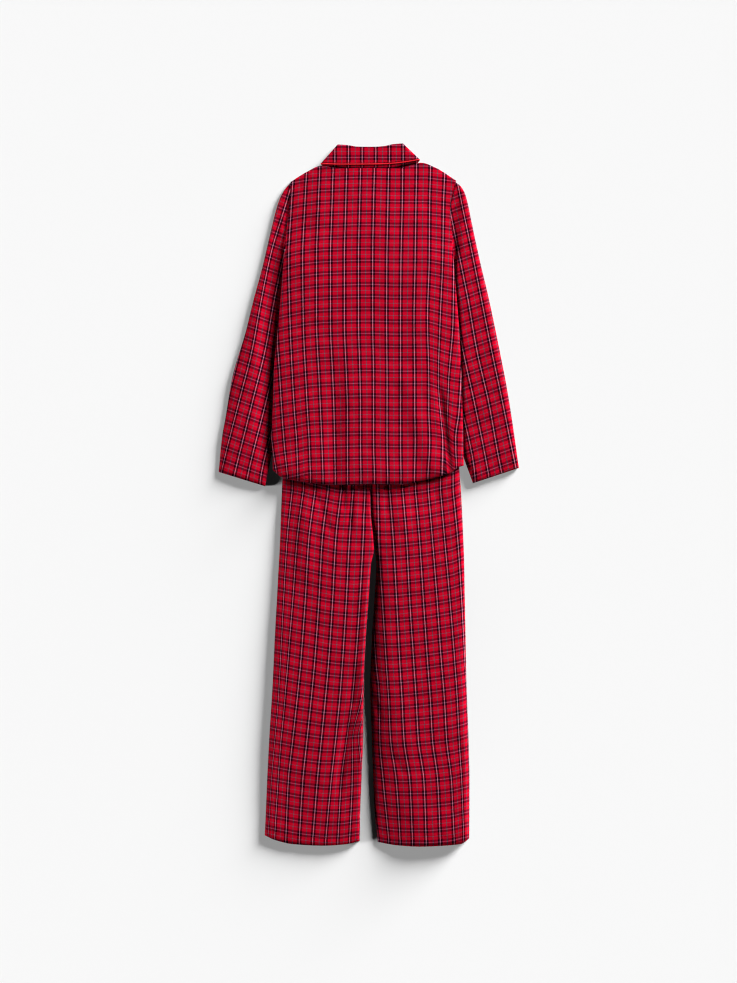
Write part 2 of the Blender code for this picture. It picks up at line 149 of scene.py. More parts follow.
def run_down(numbers, plan, drop, pitch, start):
    """Numbers along each row of a grid, run on at their own pitch where the cloth falls steeply."""
    extra = np.maximum(np.hypot(plan, drop) - STEEP * plan, 0.0) / pitch
    steps = np.diff(numbers, axis=1)
    total = np.cumsum(steps + np.sign(steps) * extra, axis=1)
    total = np.concatenate((np.zeros((len(numbers), 1)), total), axis=1)
    return numbers[:, [start]] + total - total[:, [start]]


def run_on(stripe, line, x, y, z, tube):
    """Stripes run on across the grid and lines run on along it."""
    plan = [np.hypot(np.diff(x, axis=axis), np.diff(y, axis=axis)) for axis in (0, 1)]
    drop = [np.abs(np.diff(z, axis=axis)) for axis in (0, 1)]
    middle = x.shape[1] // (4 if tube else 2)
    stripe = run_down(stripe, plan[1], drop[1], STRIPE_PITCH, middle)
    line = run_down(line.T, plan[0].T, drop[0].T, LINE_PITCH, x.shape[0] // 2).T
    return stripe, line


def lay(name, columns, rows, place, weave, flip=False, tube=False):
    """A grid laid by place(column, row), with the weave's UV from weave(x, y)."""
    shape = bmesh.new()
    bmesh.ops.create_grid(shape, x_segments=len(columns) - 1, y_segments=len(rows) - 1, size=0.5)
    mesh = bpy.data.meshes.new(name)
    shape.to_mesh(mesh)
    shape.free()
    flat = np.empty(3 * len(mesh.vertices))
    mesh.vertices.foreach_get("co", flat)
    across, along, _ = (flat.reshape(-1, 3) + 0.5).T
    cell = (np.rint(along * (len(rows) - 1)).astype(int), np.rint(across * (len(columns) - 1)).astype(int))
    column = np.tile(columns.T[:, None, :], (1, len(rows), 1))
    row = np.tile(rows.T[:, :, None], (1, 1, len(columns)))
    x, y, z = place(column, row)
    mesh.vertices.foreach_set("co", np.stack((x[cell], y[cell], z[cell]), axis=1).ravel())
    corners = np.empty(len(mesh.loops), dtype=int)
    mesh.loops.foreach_get("vertex_index", corners)
    stripe, line = run_on(*weave(x, y), x, y, z, tube)
    stripe, line = stripe[cell], line[cell]
    layer = mesh.uv_layers.new(name=WEAVE)
    layer.uv.foreach_set("vector", np.stack((stripe[corners], line[corners]), axis=1).ravel())
    shape = bmesh.new()
    shape.from_mesh(mesh)
    if tube:
        bmesh.ops.remove_doubles(shape, verts=shape.verts, dist=0.00002)
    if flip:
        bmesh.ops.reverse_faces(shape, faces=shape.faces)
    shape.to_mesh(mesh)
    shape.free()
    mesh.shade_smooth()
    return mesh


def cloth(name, mesh, finish, node, even=True):
    """A finished piece of cloth: its wall, its finish and what the frame is told about it."""
    piece = bpy.data.objects.new(name, mesh)
    bpy.context.scene.collection.objects.link(piece)
    mesh.materials.append(finish)
    thickness = piece.modifiers.new("Wall", "SOLIDIFY")
    thickness.thickness = WALL
    thickness.offset = -1.0
    thickness.use_even_offset = even
    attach(piece, "root")
    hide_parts(node)
    print(name, "has", len(mesh.polygons), "faces before its wall")
    return piece


print("the cloth's wall is", WALL * 1000, "mm and its cells are", CELL * 1000, "mm")

# %% [markdown]
# ## The check
# The cloth is dyed in the yarn: warp stripes run down each panel and weft lines run across it. One
# repeat of the warp is a white stripe between two navy ones, a wide red ground and a thin grey line.
# The weft is the same idea in quieter colours. A colour ramp holds each chart, and a second group
# says which yarn is on top, so that the two mix as yarns do and not as paint.

# %% Small helpers for node trees
def feed(tree, socket, source):
    """Give a socket a link, or a plain value."""
    if isinstance(source, bpy.types.NodeSocket):
        tree.links.new(source, socket)
    else:
        socket.default_value = source


def put(tree, kind, *sources, **settings):
    """Add a node, set its properties, and feed its inputs in order; None leaves one as it is."""
    node = tree.nodes.new(kind)
    for name, value in settings.items():
        setattr(node, name, value)
    for number, source in enumerate(sources):
        if source is not None:
            feed(tree, node.inputs[number], source)
    return node


def maths(tree, operation, *sources):
    return put(tree, "ShaderNodeMath", *sources, operation=operation).outputs[0]


def ridges(tree, place, turn):
    """Height of rounded ribs side by side, from 0 between them to 1 on them."""
    return maths(tree, "ABSOLUTE", maths(tree, "SINE", maths(tree, "MULTIPLY", place, turn)))


def blend_colours(tree, share, first, second, mode="MIX"):
    """Colour mix of first and second, by a share from 0 to 1."""
    node = put(tree, "ShaderNodeMix", data_type="RGBA", blend_type=mode)
    for number, source in ((0, share), (6, first), (7, second)):
        feed(tree, node.inputs[number], source)
    return node.outputs[2]


def new_group(name, takes, gives):
    """An empty shader group with its named sockets; returns the tree, its input and its output."""
    tree = bpy.data.node_groups.new(name, "ShaderNodeTree")
    for direction, sockets in (("INPUT", takes), ("OUTPUT", gives)):
        for socket, kind in sockets.items():
            tree.interface.new_socket(name=socket, in_out=direction, socket_type="NodeSocket" + kind)
    return tree, tree.nodes.new("NodeGroupInput"), tree.nodes.new("NodeGroupOutput")


def use_group(tree, group, sources):
    """Place a group in a tree, with its named inputs fed."""
    node = put(tree, "ShaderNodeGroup", node_tree=group)
    for name, source in sources.items():
        feed(tree, node.inputs[name], source)
    return node


def picked(red, green, blue):
    """A colour picked on a scale from 0 to 255."""
    return (red / 255, green / 255, blue / 255, 1.0)


def linear(red, green, blue):
    """The same colour as the shader wants it."""
    return (*[(part / 255) ** 2.2 for part in (red, green, blue)], 1.0)


print("mid grey is", round(linear(128, 128, 128)[0], 3), "to a shader")

# %% The charts of the warp and the weft
RED = picked(204, 10, 43)
NAVY = picked(44, 0, 20)
WHITE = picked(255, 152, 172)
GREY = picked(94, 78, 88)
WEFT_DARK = picked(24, 0, 26)
WEFT_PALE = picked(158, 112, 132)
WEFT_LINE = picked(100, 110, 118)
# Where each colour starts, in shares of a repeat out from the middle of the white stripe.
WARP_CHART = ((0.0, WHITE), (0.025, NAVY), (0.166, RED), (0.464, GREY))
WEFT_CHART = ((0.0, WEFT_PALE), (0.042, WEFT_DARK), (0.218, RED), (0.467, WEFT_LINE))


def yarn_colour(tree, place, chart):
    """Colour of the yarn at this place: the chart is read outwards from the middle of a stripe."""
    nearest = maths(tree, "ROUND", place)
    away = maths(tree, "ABSOLUTE", maths(tree, "SUBTRACT", place, nearest))
    ramp = put(tree, "ShaderNodeValToRGB", away)
    ramp.color_ramp.interpolation = "CONSTANT"
    stops = ramp.color_ramp.elements
    while len(stops) < len(chart):
        stops.new(1.0)
    for stop, (position, colour) in zip(stops, chart):
        stop.position = position
        stop.color = colour
    return ramp.outputs[0]


check, check_in, check_out = new_group(
    "woven check", {"Place": "Vector", "Warp On Top": "Float"}, {"Colour": "Color"})
place_axes = put(check, "ShaderNodeSeparateXYZ", check_in.outputs["Place"])
warp_colour = yarn_colour(check, place_axes.outputs[0], WARP_CHART)
weft_colour = yarn_colour(check, place_axes.outputs[1], WEFT_CHART)
woven = blend_colours(check, check_in.outputs["Warp On Top"], weft_colour, warp_colour)
darkened = put(check, "ShaderNodeGamma", woven, 2.2)
feed(check, check_out.inputs["Colour"], darkened.outputs[0])
print("the check is woven from", len(WARP_CHART), "warp colours and", len(WEFT_CHART), "weft colours")

# %% Which yarn is on top: a two-and-two twill
TWILL_REPEAT = 4.0          # yarns before the twill starts again
TWILL_OVER = 2.0            # yarns of these that the warp passes over
twill, twill_in, twill_out = new_group(
    "twill weave", {"Place": "Vector", "Warp Yarns": "Float", "Weft Yarns": "Float"},
    {"Warp On Top": "Float", "Height": "Float"})
twill_axes = put(twill, "ShaderNodeSeparateXYZ", twill_in.outputs["Place"])
warp_place = maths(twill, "MULTIPLY", twill_axes.outputs[0], twill_in.outputs["Warp Yarns"])
weft_place = maths(twill, "MULTIPLY", twill_axes.outputs[1], twill_in.outputs["Weft Yarns"])
step = maths(twill, "SUBTRACT", maths(twill, "FLOOR", warp_place), maths(twill, "FLOOR", weft_place))
on_top = maths(twill, "LESS_THAN", maths(twill, "FLOORED_MODULO", step, TWILL_REPEAT), TWILL_OVER)
warp_round = ridges(twill, warp_place, math.pi)
weft_round = ridges(twill, weft_place, math.pi)
yarn_height = put(twill, "ShaderNodeMix", on_top, None, weft_round, warp_round)
feed(twill, twill_out.inputs["Warp On Top"], on_top)
feed(twill, twill_out.inputs["Height"], yarn_height.outputs[0])
print("the twill group has", len(twill.nodes), "nodes")

# %% The nap: brushed fibres that blur the weave and vary its colour
PATCHES = 34.0              # to a metre
FIBRES = 520.0
PATCH_CONTRAST = 0.16
FIBRE_CONTRAST = 0.30
nap, nap_in, nap_out = new_group(
    "brushed nap", {"Colour": "Color", "Amount": "Float"}, {"Colour": "Color", "Height": "Float"})
nap_place = put(nap, "ShaderNodeTexCoord").outputs["Object"]
patches = put(nap, "ShaderNodeTexNoise", nap_place, None, PATCHES, 3.0).outputs["Fac"]
fibres = put(nap, "ShaderNodeTexNoise", nap_place, None, FIBRES, 3.0).outputs["Fac"]
patch_share = maths(nap, "MULTIPLY_ADD", patches, PATCH_CONTRAST, -PATCH_CONTRAST / 2)
fibre_share = maths(nap, "MULTIPLY_ADD", fibres, FIBRE_CONTRAST, -FIBRE_CONTRAST / 2)
both = maths(nap, "ADD", patch_share, fibre_share)
light_share = maths(nap, "MULTIPLY_ADD", both, nap_in.outputs["Amount"], 1.0)
as_colour = put(nap, "ShaderNodeCombineXYZ", light_share, light_share, light_share).outputs[0]
varied = blend_colours(nap, 1.0, nap_in.outputs["Colour"], as_colour, mode="MULTIPLY")
feed(nap, nap_out.inputs["Colour"], varied)
feed(nap, nap_out.inputs["Height"], fibres)
print("the nap group has", len(nap.nodes), "nodes")


# %% The finish of all the checked cotton
def new_finish(name, values):
    """A material, its tree and its shader, with these values on the shader's own sockets."""
    finish = bpy.data.materials.new(name)
    finish.use_nodes = True
    shader = finish.node_tree.nodes["Principled BSDF"]
    for socket, value in values.items():
        shader.inputs[socket].default_value = value
    return finish, finish.node_tree, shader


def woven_relief(tree, shader, height, strength, distance):
    """Bump the surface by the height of its yarns."""
    relief = put(tree, "ShaderNodeBump")
    for socket, source in (("Strength", strength), ("Distance", distance), ("Height", height)):
        feed(tree, relief.inputs[socket], source)
    feed(tree, shader.inputs["Normal"], relief.outputs[0])


WARP_YARNS = 68.0           # in one repeat of the stripes
WEFT_YARNS = 60.0           # in one repeat of the lines
WARP_LEAST = 0.52           # share of the warp's colour where the weft lies on top
WARP_MORE = 0.20            # what it gains where the warp lies on top

checked_cotton, tree, shader = new_finish("checked_cotton", {
    "Roughness": 0.92, "Specular IOR Level": 0.03, "Sheen Weight": 0.05, "Sheen Roughness": 0.40,
    "Sheen Tint": linear(255, 120, 140)})
weave_place = put(tree, "ShaderNodeUVMap", uv_map=WEAVE).outputs[0]
yarns = use_group(tree, twill, {"Place": weave_place, "Warp Yarns": WARP_YARNS, "Weft Yarns": WEFT_YARNS})
share = maths(tree, "MULTIPLY_ADD", yarns.outputs["Warp On Top"], WARP_MORE, WARP_LEAST)
pattern = use_group(tree, check, {"Place": weave_place, "Warp On Top": share})
brushed = use_group(tree, nap, {"Colour": pattern.outputs["Colour"], "Amount": 1.0})
feed(tree, shader.inputs["Base Color"], brushed.outputs["Colour"])
woven_relief(tree, shader, yarns.outputs["Height"], 0.5, 0.0002)
print("the warp has", round(WARP_YARNS / STRIPE_PITCH / 1000, 1), "yarns in a millimetre")

# %% [markdown]
# ## The outline of the shirt
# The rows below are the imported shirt's own: the side seams by height, the curved hem and the
# shoulders by how far across the panel they lie.

# %% Tables of the shirt body
def table(columns, *rows):
    """Rows of numbers, in columns that have names."""
    row_type = namedtuple("Row", columns)
    return [row_type(*row) for row in rows]


BODY_SIDES = table("y left right",
    (0.0570, -0.2205, 0.2191), (0.0984, -0.2211, 0.2175), (0.1306, -0.2237, 0.2172),
    (0.2042, -0.2207, 0.2150), (0.2916, -0.2179, 0.2122), (0.3790, -0.2092, 0.2078),
    (0.5400, -0.1954, 0.1949), (0.6090, -0.1890, 0.1908), (0.6550, -0.1836, 0.1880),
    (0.7206, -0.1800, 0.2007))
HEM = "across y"
SHIRT_HEM = table(HEM,
    (0.00, 0.0570), (0.05, 0.0398), (0.12, 0.0329), (0.32, 0.0225), (0.50, 0.0240), (0.68, 0.0237),
    (0.78, 0.0320), (0.87, 0.0419), (0.93, 0.0501), (0.97, 0.0628), (1.00, 0.0674))
SHIRT_TOP = table("across back front",
    (0.000, 0.7206, 0.7206), (0.094, 0.7424, 0.7424), (0.184, 0.7570, 0.7570), (0.287, 0.7516, 0.7240),
    (0.500, 0.7516, 0.7000), (0.668, 0.7516, 0.7240), (0.791, 0.7640, 0.7640), (0.874, 0.7533, 0.7533),
    (1.000, 0.7238, 0.7238))
BODY_WIDTH = 0.42
BODY_LENGTH = 0.72
print("the shirt's outline has", len(BODY_SIDES), "rows at the sides and", len(SHIRT_HEM), "at the hem")

# %% [markdown]
# ## How the cloth lies
# The sleeves and the trousers raise the shirt that lies on them. The back is not pressed flat: air
# stays between the layers, so it rises slowly from both side seams, and a few long soft folds run
# down it where the cloth has been smoothed by hand. A cloth simulation would put its folds where it
# likes. Here every fold has a place and a size, so heights are added up from soft shapes instead.

# %% Heights of the shirt
CLOTH_HEIGHT = 0.0060
LIFT = 0.0074
HEM_LIFT = 0.0028           # the gathered top of the trousers lifts the shirt's hem further
SPANNED = 0.75              # how fully the back bridges the hollow between the sleeves
MIDDLE_RISE = 0.0018
CHEST_RISE = 0.0008         # the back is fuller above the trousers
COLLAR_RISE = 0.0020
NECK_RISE = 0.0038
BUTTON_HEIGHT = 0.0022
LAP = 0.0018
BODY_AIR = 0.0072           # extra height of the back away from its edges
AIR_REACH_LEFT = 0.080
AIR_REACH_RIGHT = 0.110
SIDE_REACH = 0.006
HEM_REACH = 0.011
HEM_ROLL = 0.016
HEM_DROP = 0.62             # share of the layer of air that the hem gives up
HEM_LINE = 0.019            # the stitched line above a hem
HEM_SINK = 0.0005
SEAM_RISE = 0.0010


def shirt_lift(x, y):
    over_sleeve = fade(0.080, 0.145, np.abs(x)) * fade(0.62, 0.53, y)
    over_trousers = fade(0.32, 0.20, y)
    return LIFT * (1 - (1 - over_sleeve) * (1 - over_trousers)) + HEM_LIFT * fade(0.120, 0.040, y)


def neck_share(x, y):
    return fade(0.175, 0.120, np.abs(x)) * fade(0.57, 0.67, y)


def front_right_height(x, y):
    buttons = (BUTTON_HEIGHT + GAP) * fade(0.100, 0.018, np.abs(x))
    return shirt_lift(x, y) + mix(buttons, NECK_RISE, neck_share(x, y))


def front_left_height(x, y):
    return front_right_height(x, y) + LAP * fade(-0.120, -0.026, x)


# %% Creases, as soft troughs and ridges, placed one by one
CREASE = "top_x top_y foot_x foot_y bend half_width height"
BACK_CREASES = table(CREASE,
    (0.160, 0.27, 0.188, 0.04, 0.000, 0.012, -0.0050),
    (0.078, 0.30, 0.155, 0.04, 0.004, 0.034, 0.0030),
    (0.104, 0.56, 0.112, 0.25, 0.000, 0.030, 0.0011),
    (-0.071, 0.30, -0.080, 0.00, 0.000, 0.034, -0.0040),
    (-0.140, 0.71, -0.128, 0.50, 0.000, 0.026, -0.0014),
    (0.165, 0.76, 0.172, 0.58, 0.000, 0.045, 0.0018),
    (-0.150, 0.33, -0.120, 0.06, 0.004, 0.030, 0.0010))


def crease_height(creases, x, y):
    """Rise or dip of soft creases; each one fades towards both its ends."""
    total = np.zeros_like(x)
    for crease in creases:
        run = np.array((crease.foot_x - crease.top_x, crease.foot_y - crease.top_y))
        length = math.hypot(*run)
        run = run / length
        along = ((x - crease.top_x) * run[0] + (y - crease.top_y) * run[1]) / length
        bow = crease.bend * 4 * along * (1 - along)
        beside = np.abs((x - crease.top_x) * run[1] - (y - crease.top_y) * run[0] - bow)
        ends = fade(-0.05, 0.25, along) * fade(1.08, 0.80, along)
        total += crease.height * ends * fade(crease.half_width, 0.0, beside)
    return total


RIPPLES = table("height length turn shift",
    (0.00045, 0.171, 0.3, 0.0), (0.00040, 0.113, 1.9, 1.3), (0.00030, 0.071, 1.2, 2.1),
    (0.00022, 0.047, 2.6, 4.0), (0.00014, 0.029, 0.8, 0.7))


def ripple_height(x, y):
    """The slight unevenness of soft cloth that was laid down by hand."""
    total = np.zeros_like(x)
    for ripple in RIPPLES:
        across = x * math.cos(ripple.turn) + y * math.sin(ripple.turn)
        total += ripple.height * np.sin(2 * math.pi * across / ripple.length + ripple.shift)
    return total


GATHER_TURNS = (410, 61, 233)       # radians to a metre: the gathers, their drift, a second beat
HEM_GROOVE = 0.006                  # half width of the groove beside the stitches


def hem_pucker(across, from_hem):
    """The shallow, slightly gathered groove that a row of stitches draws into a hem."""
    first, drift, second = GATHER_TURNS
    gathers = np.sin(across * first + 1.7 * np.sin(across * drift)) + 0.5 * np.sin(across * second)
    return -HEM_SINK * (1 + 0.5 * gathers) * fade(HEM_GROOVE, 0.0, np.abs(from_hem - HEM_LINE))


print(len(BACK_CREASES), "creases are placed on the back, under", len(RIPPLES), "fine ripples")

# %% [markdown]
# ## Where the stripes run
# Cloth that lies on a table is pushed about, so its stripes lean and draw together. For each panel
# a short table says where some of the stripes cross a few heights; the rest are read between them.
# The weft lines are given on one column, with how far they droop away from it.

# %% Readers for the stripes and the lines
def stripes_at(rows, numbers, x, y):
    """Stripe number at x, from a table that gives the x of a few numbered stripes by height."""
    names = rows[0]._fields[1:]
    places = np.stack([read(rows, "y", name, y) for name in names])
    numbers = np.array(numbers, dtype=float)
    n = np.clip((places <= x).sum(axis=0) - 1, 0, len(numbers) - 2)
    low = np.take_along_axis(places, n[None], axis=0)[0]
    high = np.take_along_axis(places, n[None] + 1, axis=0)[0]
    return numbers[n] + (numbers[n + 1] - numbers[n]) * (x - low) / (high - low)


LINE = "y number"


def line_number(lines, y):
    """Number of the weft line at y; the pitch of the outermost rows carries on past the table."""
    keys = np.array([line.y for line in lines])
    numbers = np.array([line.number for line in lines], dtype=float)
    n = np.clip(np.searchsorted(keys, y) - 1, 0, len(keys) - 2)
    return numbers[n] + (numbers[n + 1] - numbers[n]) * (y - keys[n]) / (keys[n + 1] - keys[n])


BODY_NUMBERS = (-7, -6, -4, -2, 0, 2, 4, 5, 5.3, 6.45, 7)
BODY_STRIPES = table("y far_left left mid_left near_left centre near_right mid_right "
                     "right tuck_start tuck_end far_right",
    (0.0455, -0.187, -0.163, -0.105, -0.049, 0.013, 0.074, 0.136, 0.168, 0.190, 0.194, 0.202),
    (0.1260, -0.195, -0.166, -0.108, -0.049, 0.011, 0.073, 0.140, 0.170, 0.179, 0.183, 0.200),
    (0.1950, -0.200, -0.171, -0.111, -0.049, 0.011, 0.073, 0.138, 0.165, 0.168, 0.190, 0.208),
    (0.2640, -0.204, -0.175, -0.114, -0.051, 0.011, 0.073, 0.138, 0.160, 0.166, 0.195, 0.212),
    (0.4020, -0.213, -0.181, -0.120, -0.056, 0.009, 0.073, 0.135, 0.164, 0.173, 0.207, 0.222),
    (0.5400, -0.216, -0.184, -0.120, -0.056, 0.009, 0.074, 0.139, 0.170, 0.178, 0.207, 0.222),
    (0.6670, -0.210, -0.178, -0.116, -0.053, 0.011, 0.077, 0.140, 0.172, 0.182, 0.218, 0.236),
    (0.7470, -0.205, -0.173, -0.113, -0.051, 0.013, 0.078, 0.142, 0.175, 0.185, 0.221, 0.239))
BODY_LINES = table(LINE,
    (0.0552, 24), (0.1697, 20), (0.3141, 15), (0.4556, 10), (0.5940, 5), (0.7304, 0))
DROOP = "x top middle foot"
BODY_DROOP = table(DROOP,
    (-0.225, 0.0250, 0.0240, 0.0230), (-0.195, 0.0184, 0.0170, 0.0165), (-0.167, 0.0108, 0.0116, 0.0114),
    (-0.135, 0.0062, 0.0060, 0.0045), (-0.100, 0.0032, 0.0032, 0.0032), (0.003, 0.0000, 0.0000, 0.0000),
    (0.060, 0.0016, 0.0016, 0.0016), (0.130, 0.0014, 0.0010, 0.0010), (0.150, 0.0034, 0.0055, 0.0016),
    (0.173, 0.0060, 0.0140, 0.0050), (0.198, 0.0092, 0.0205, 0.0235), (0.225, 0.0130, 0.0240, 0.0260))


def droop(rows, x, y, top_y, middle_y, foot_y):
    """How far a weft line hangs below its place on the reference column."""
    top, middle, foot = [read(rows, "x", name, x) for name in ("top", "middle", "foot")]
    upper = fade(middle_y, top_y, y)
    lower = fade(middle_y, foot_y, y)
    return mix(mix(middle, top, upper), foot, lower)


def back_weave(x, y):
    stripe = stripes_at(BODY_STRIPES, BODY_NUMBERS, x, y)
    return stripe, -line_number(BODY_LINES, y + droop(BODY_DROOP, x, y, 0.66, 0.264, 0.066))


def plain_weave(x, y):
    """The weave of a panel that lies straight."""
    return x / STRIPE_PITCH + 0.4, y / LINE_PITCH + 0.3


# %% [markdown]
# ## The shirt's back and fronts
# The back is one panel. Its side seams roll down to meet the fronts, and its hem turns under. The
# fronts lie below it and are hardly seen, so they are plain: the right one laps over the left one,
# which leaves room for the buttons. All three share one outline, so their seams meet all round.

# %% The shirt's back
def body_place(column, row, top_line):
    """Plan position of points of the body, and their distance from each edge."""
    share, inset = column
    height_share, rise = row
    across = share + inset / BODY_WIDTH
    low = read(SHIRT_HEM, "across", "y", across)
    high = read(SHIRT_TOP, "across", top_line, across)
    y = mix(low, high, height_share) + rise
    left = read(BODY_SIDES, "y", "left", y)
    right = read(BODY_SIDES, "y", "right", y)
    x = mix(left, right, share) + inset
    return x, y, np.minimum(x - left, right - x), high - y, y - low


def back_place(column, row):
    x, y, from_side, from_top, from_hem = body_place(column, row, "back")
    across = column[0] + column[1] / BODY_WIDTH
    on_shoulder = 1 - fade(0.160, 0.200, across) * fade(0.815, 0.775, across)
    below_armhole = fade(0.585, 0.555, y)
    opened = 1 - below_armhole * (1 - rounded(from_side, SIDE_REACH))
    opened = opened * (1 - on_shoulder * (1 - rounded(from_top, SIDE_REACH)))
    opened = opened * (1 - HEM_DROP * (1 - rounded(from_hem, HEM_ROLL)))
    seam = front_left_height(x, y) + WALL + GAP + SEAM_RISE
    reach = np.where(across < 0.5, AIR_REACH_LEFT, AIR_REACH_RIGHT)
    air = BODY_AIR * mix(0.55, 1.0, fade(0.70, 0.46, y)) * rounded(from_side + 0.004, reach)
    air = air * fade(0.0, 0.130, from_top) * fade(-0.200, 0.055, from_hem)
    middle = MIDDLE_RISE + CHEST_RISE * fade(0.150, 0.260, y) * fade(0.680, 0.480, y)
    middle = middle * fade(0.160, 0.050, np.abs(x)) + COLLAR_RISE * neck_share(x, y)
    loose = fade(0.0, 0.03, from_side) * fade(0.0, 0.02, from_top)
    soft = (crease_height(BACK_CREASES, x, y) + ripple_height(x, y)) * loose
    soft = soft + hem_pucker(x, from_hem)
    held_up = SPANNED * fade(0.010, 0.070, from_side) * fade(0.030, 0.230, from_top)
    top = mix(shirt_lift(x, y), np.maximum(shirt_lift(x, y), LIFT), held_up)
    top = top + CLOTH_HEIGHT + middle + air + soft
    return x, y, mix(seam, top, opened)


BACK_COLUMNS = stations(BODY_WIDTH, arc_steps(SIDE_REACH, 6), arc_steps(SIDE_REACH, 6))
HEM_STEPS = arc_steps(HEM_REACH, 6) + [HEM_LINE, HEM_LINE + 0.003, HEM_LINE + 0.006]
BACK_ROWS = stations(BODY_LENGTH, HEM_STEPS, arc_steps(SIDE_REACH, 5))
back_mesh = lay("shirt_back_cloth", BACK_COLUMNS, BACK_ROWS, back_place, back_weave)
cloth("shirt_back_cloth", back_mesh, checked_cotton, "shirt_back")


# %% The shirt's two fronts
def front_place(height):
    def place(column, row):
        x, y, from_side, from_top, from_hem = body_place(column, row, "front")
        return x, y, height(x, y)

    return place


STAND_HALF = 0.016
LAP_SHARE = STAND_HALF / BODY_WIDTH
FRONT_CELL = 0.0055
whole = stations(BODY_WIDTH, arc_steps(SIDE_REACH, 2), arc_steps(SIDE_REACH, 2), FRONT_CELL)
left_columns = np.array([station for station in whole if station[0] < 0.5 + LAP_SHARE - 0.005]
                        + [(0.5 + LAP_SHARE, 0.0)])
right_columns = np.array([(0.5 - LAP_SHARE, 0.0)]
                         + [station for station in whole if station[0] > 0.5 - LAP_SHARE + 0.005])
FRONT_ROWS = stations(BODY_LENGTH, [0.0, 0.006], [0.0, 0.006], FRONT_CELL)
left_mesh = lay("shirt_front_left_cloth", left_columns, FRONT_ROWS, front_place(front_left_height),
                plain_weave, flip=True)
cloth("shirt_front_left_cloth", left_mesh, checked_cotton, "shirt_front_left")
right_mesh = lay("shirt_front_right_cloth", right_columns, FRONT_ROWS, front_place(front_right_height),
                 plain_weave, flip=True)
cloth("shirt_front_right_cloth", right_mesh, checked_cotton, "shirt_front_right")

# %% [markdown]
# ## The sleeves
# A sleeve is one panel, sewn into a tube by an underarm seam. It is full and round where it lies
# free, and flat where the body of the shirt lies on it, which leaves a valley beside the side seam.
# It could be a cylinder pressed flat with a lattice. A grid that goes over the top and back
# underneath is simpler, because both layers then read the same table of rings.

# %% Tables of the sleeves
RING = "along outer_x outer_y inner_x inner_y"
SLEEVE_RINGS = {
    "left": table(RING,
        (0.00, -0.1822, 0.7186, -0.1945, 0.5650), (0.02, -0.1964, 0.7024, -0.1932, 0.5566),
        (0.05, -0.2080, 0.6780, -0.1915, 0.5440), (0.12, -0.2250, 0.6090, -0.1915, 0.4960),
        (0.25, -0.2460, 0.5200, -0.1680, 0.4480), (0.35, -0.2655, 0.4480, -0.1530, 0.4070),
        (0.50, -0.2823, 0.3790, -0.1520, 0.3450), (0.66, -0.3147, 0.2675, -0.1850, 0.2300),
        (0.79, -0.3295, 0.1796, -0.2080, 0.1470), (0.88, -0.3382, 0.1297, -0.2215, 0.0980),
        (1.00, -0.3456, 0.0524, -0.2386, 0.0196)),
    "right": table(RING,
        (0.00, 0.2030, 0.7200, 0.1942, 0.5800), (0.02, 0.2158, 0.7088, 0.1925, 0.5672),
        (0.05, 0.2248, 0.6895, 0.1900, 0.5480), (0.12, 0.2363, 0.6300, 0.1890, 0.5080),
        (0.25, 0.2556, 0.5400, 0.1640, 0.4710), (0.35, 0.2772, 0.4480, 0.1480, 0.4070),
        (0.50, 0.3019, 0.3290, 0.1640, 0.3010), (0.64, 0.3191, 0.2397, 0.1890, 0.2130),
        (0.86, 0.3378, 0.1180, 0.2125, 0.1050), (1.00, 0.3456, 0.0616, 0.2398, 0.0265)),
}
SLEEVE_COLUMNS = "y edge first second third fourth"
SLEEVE_NUMBERS = (-1, 0, 1, 2, 3)
SLEEVE_STRIPES = {
    "left": table(SLEEVE_COLUMNS,
        (0.030, -0.359, -0.344, -0.313, -0.281, -0.250), (0.055, -0.354, -0.339, -0.307, -0.276, -0.246),
        (0.216, -0.325, -0.298, -0.267, -0.236, -0.205), (0.330, -0.297, -0.269, -0.239, -0.209, -0.179),
        (0.450, -0.269, -0.247, -0.217, -0.187, -0.157), (0.560, -0.247, -0.224, -0.193, -0.163, -0.133),
        (0.665, -0.222, -0.192, -0.162, -0.132, -0.102), (0.740, -0.200, -0.170, -0.140, -0.110, -0.080)),
    "right": table(SLEEVE_COLUMNS,
        (0.030, -0.376, -0.346, -0.312, -0.278, -0.245), (0.055, -0.370, -0.340, -0.305, -0.274, -0.243),
        (0.216, -0.337, -0.307, -0.275, -0.242, -0.210), (0.330, -0.313, -0.283, -0.249, -0.217, -0.186),
        (0.450, -0.288, -0.259, -0.228, -0.196, -0.164), (0.560, -0.264, -0.237, -0.206, -0.175, -0.143),
        (0.665, -0.240, -0.215, -0.185, -0.155, -0.123), (0.740, -0.225, -0.200, -0.170, -0.140, -0.110)),
}
SLEEVE_FIRST_LINE = {"left": 0.6015, "right": 0.6339}
SLEEVE_LINE_PITCH = {"left": 0.0275, "right": 0.0278}
SLEEVE_LINE_SLOPE = 0.34
print("the sleeves are read from", {side: len(rings) for side, rings in SLEEVE_RINGS.items()}, "rings")


# %% The sleeves
SLEEVE_HEIGHT = 0.0066
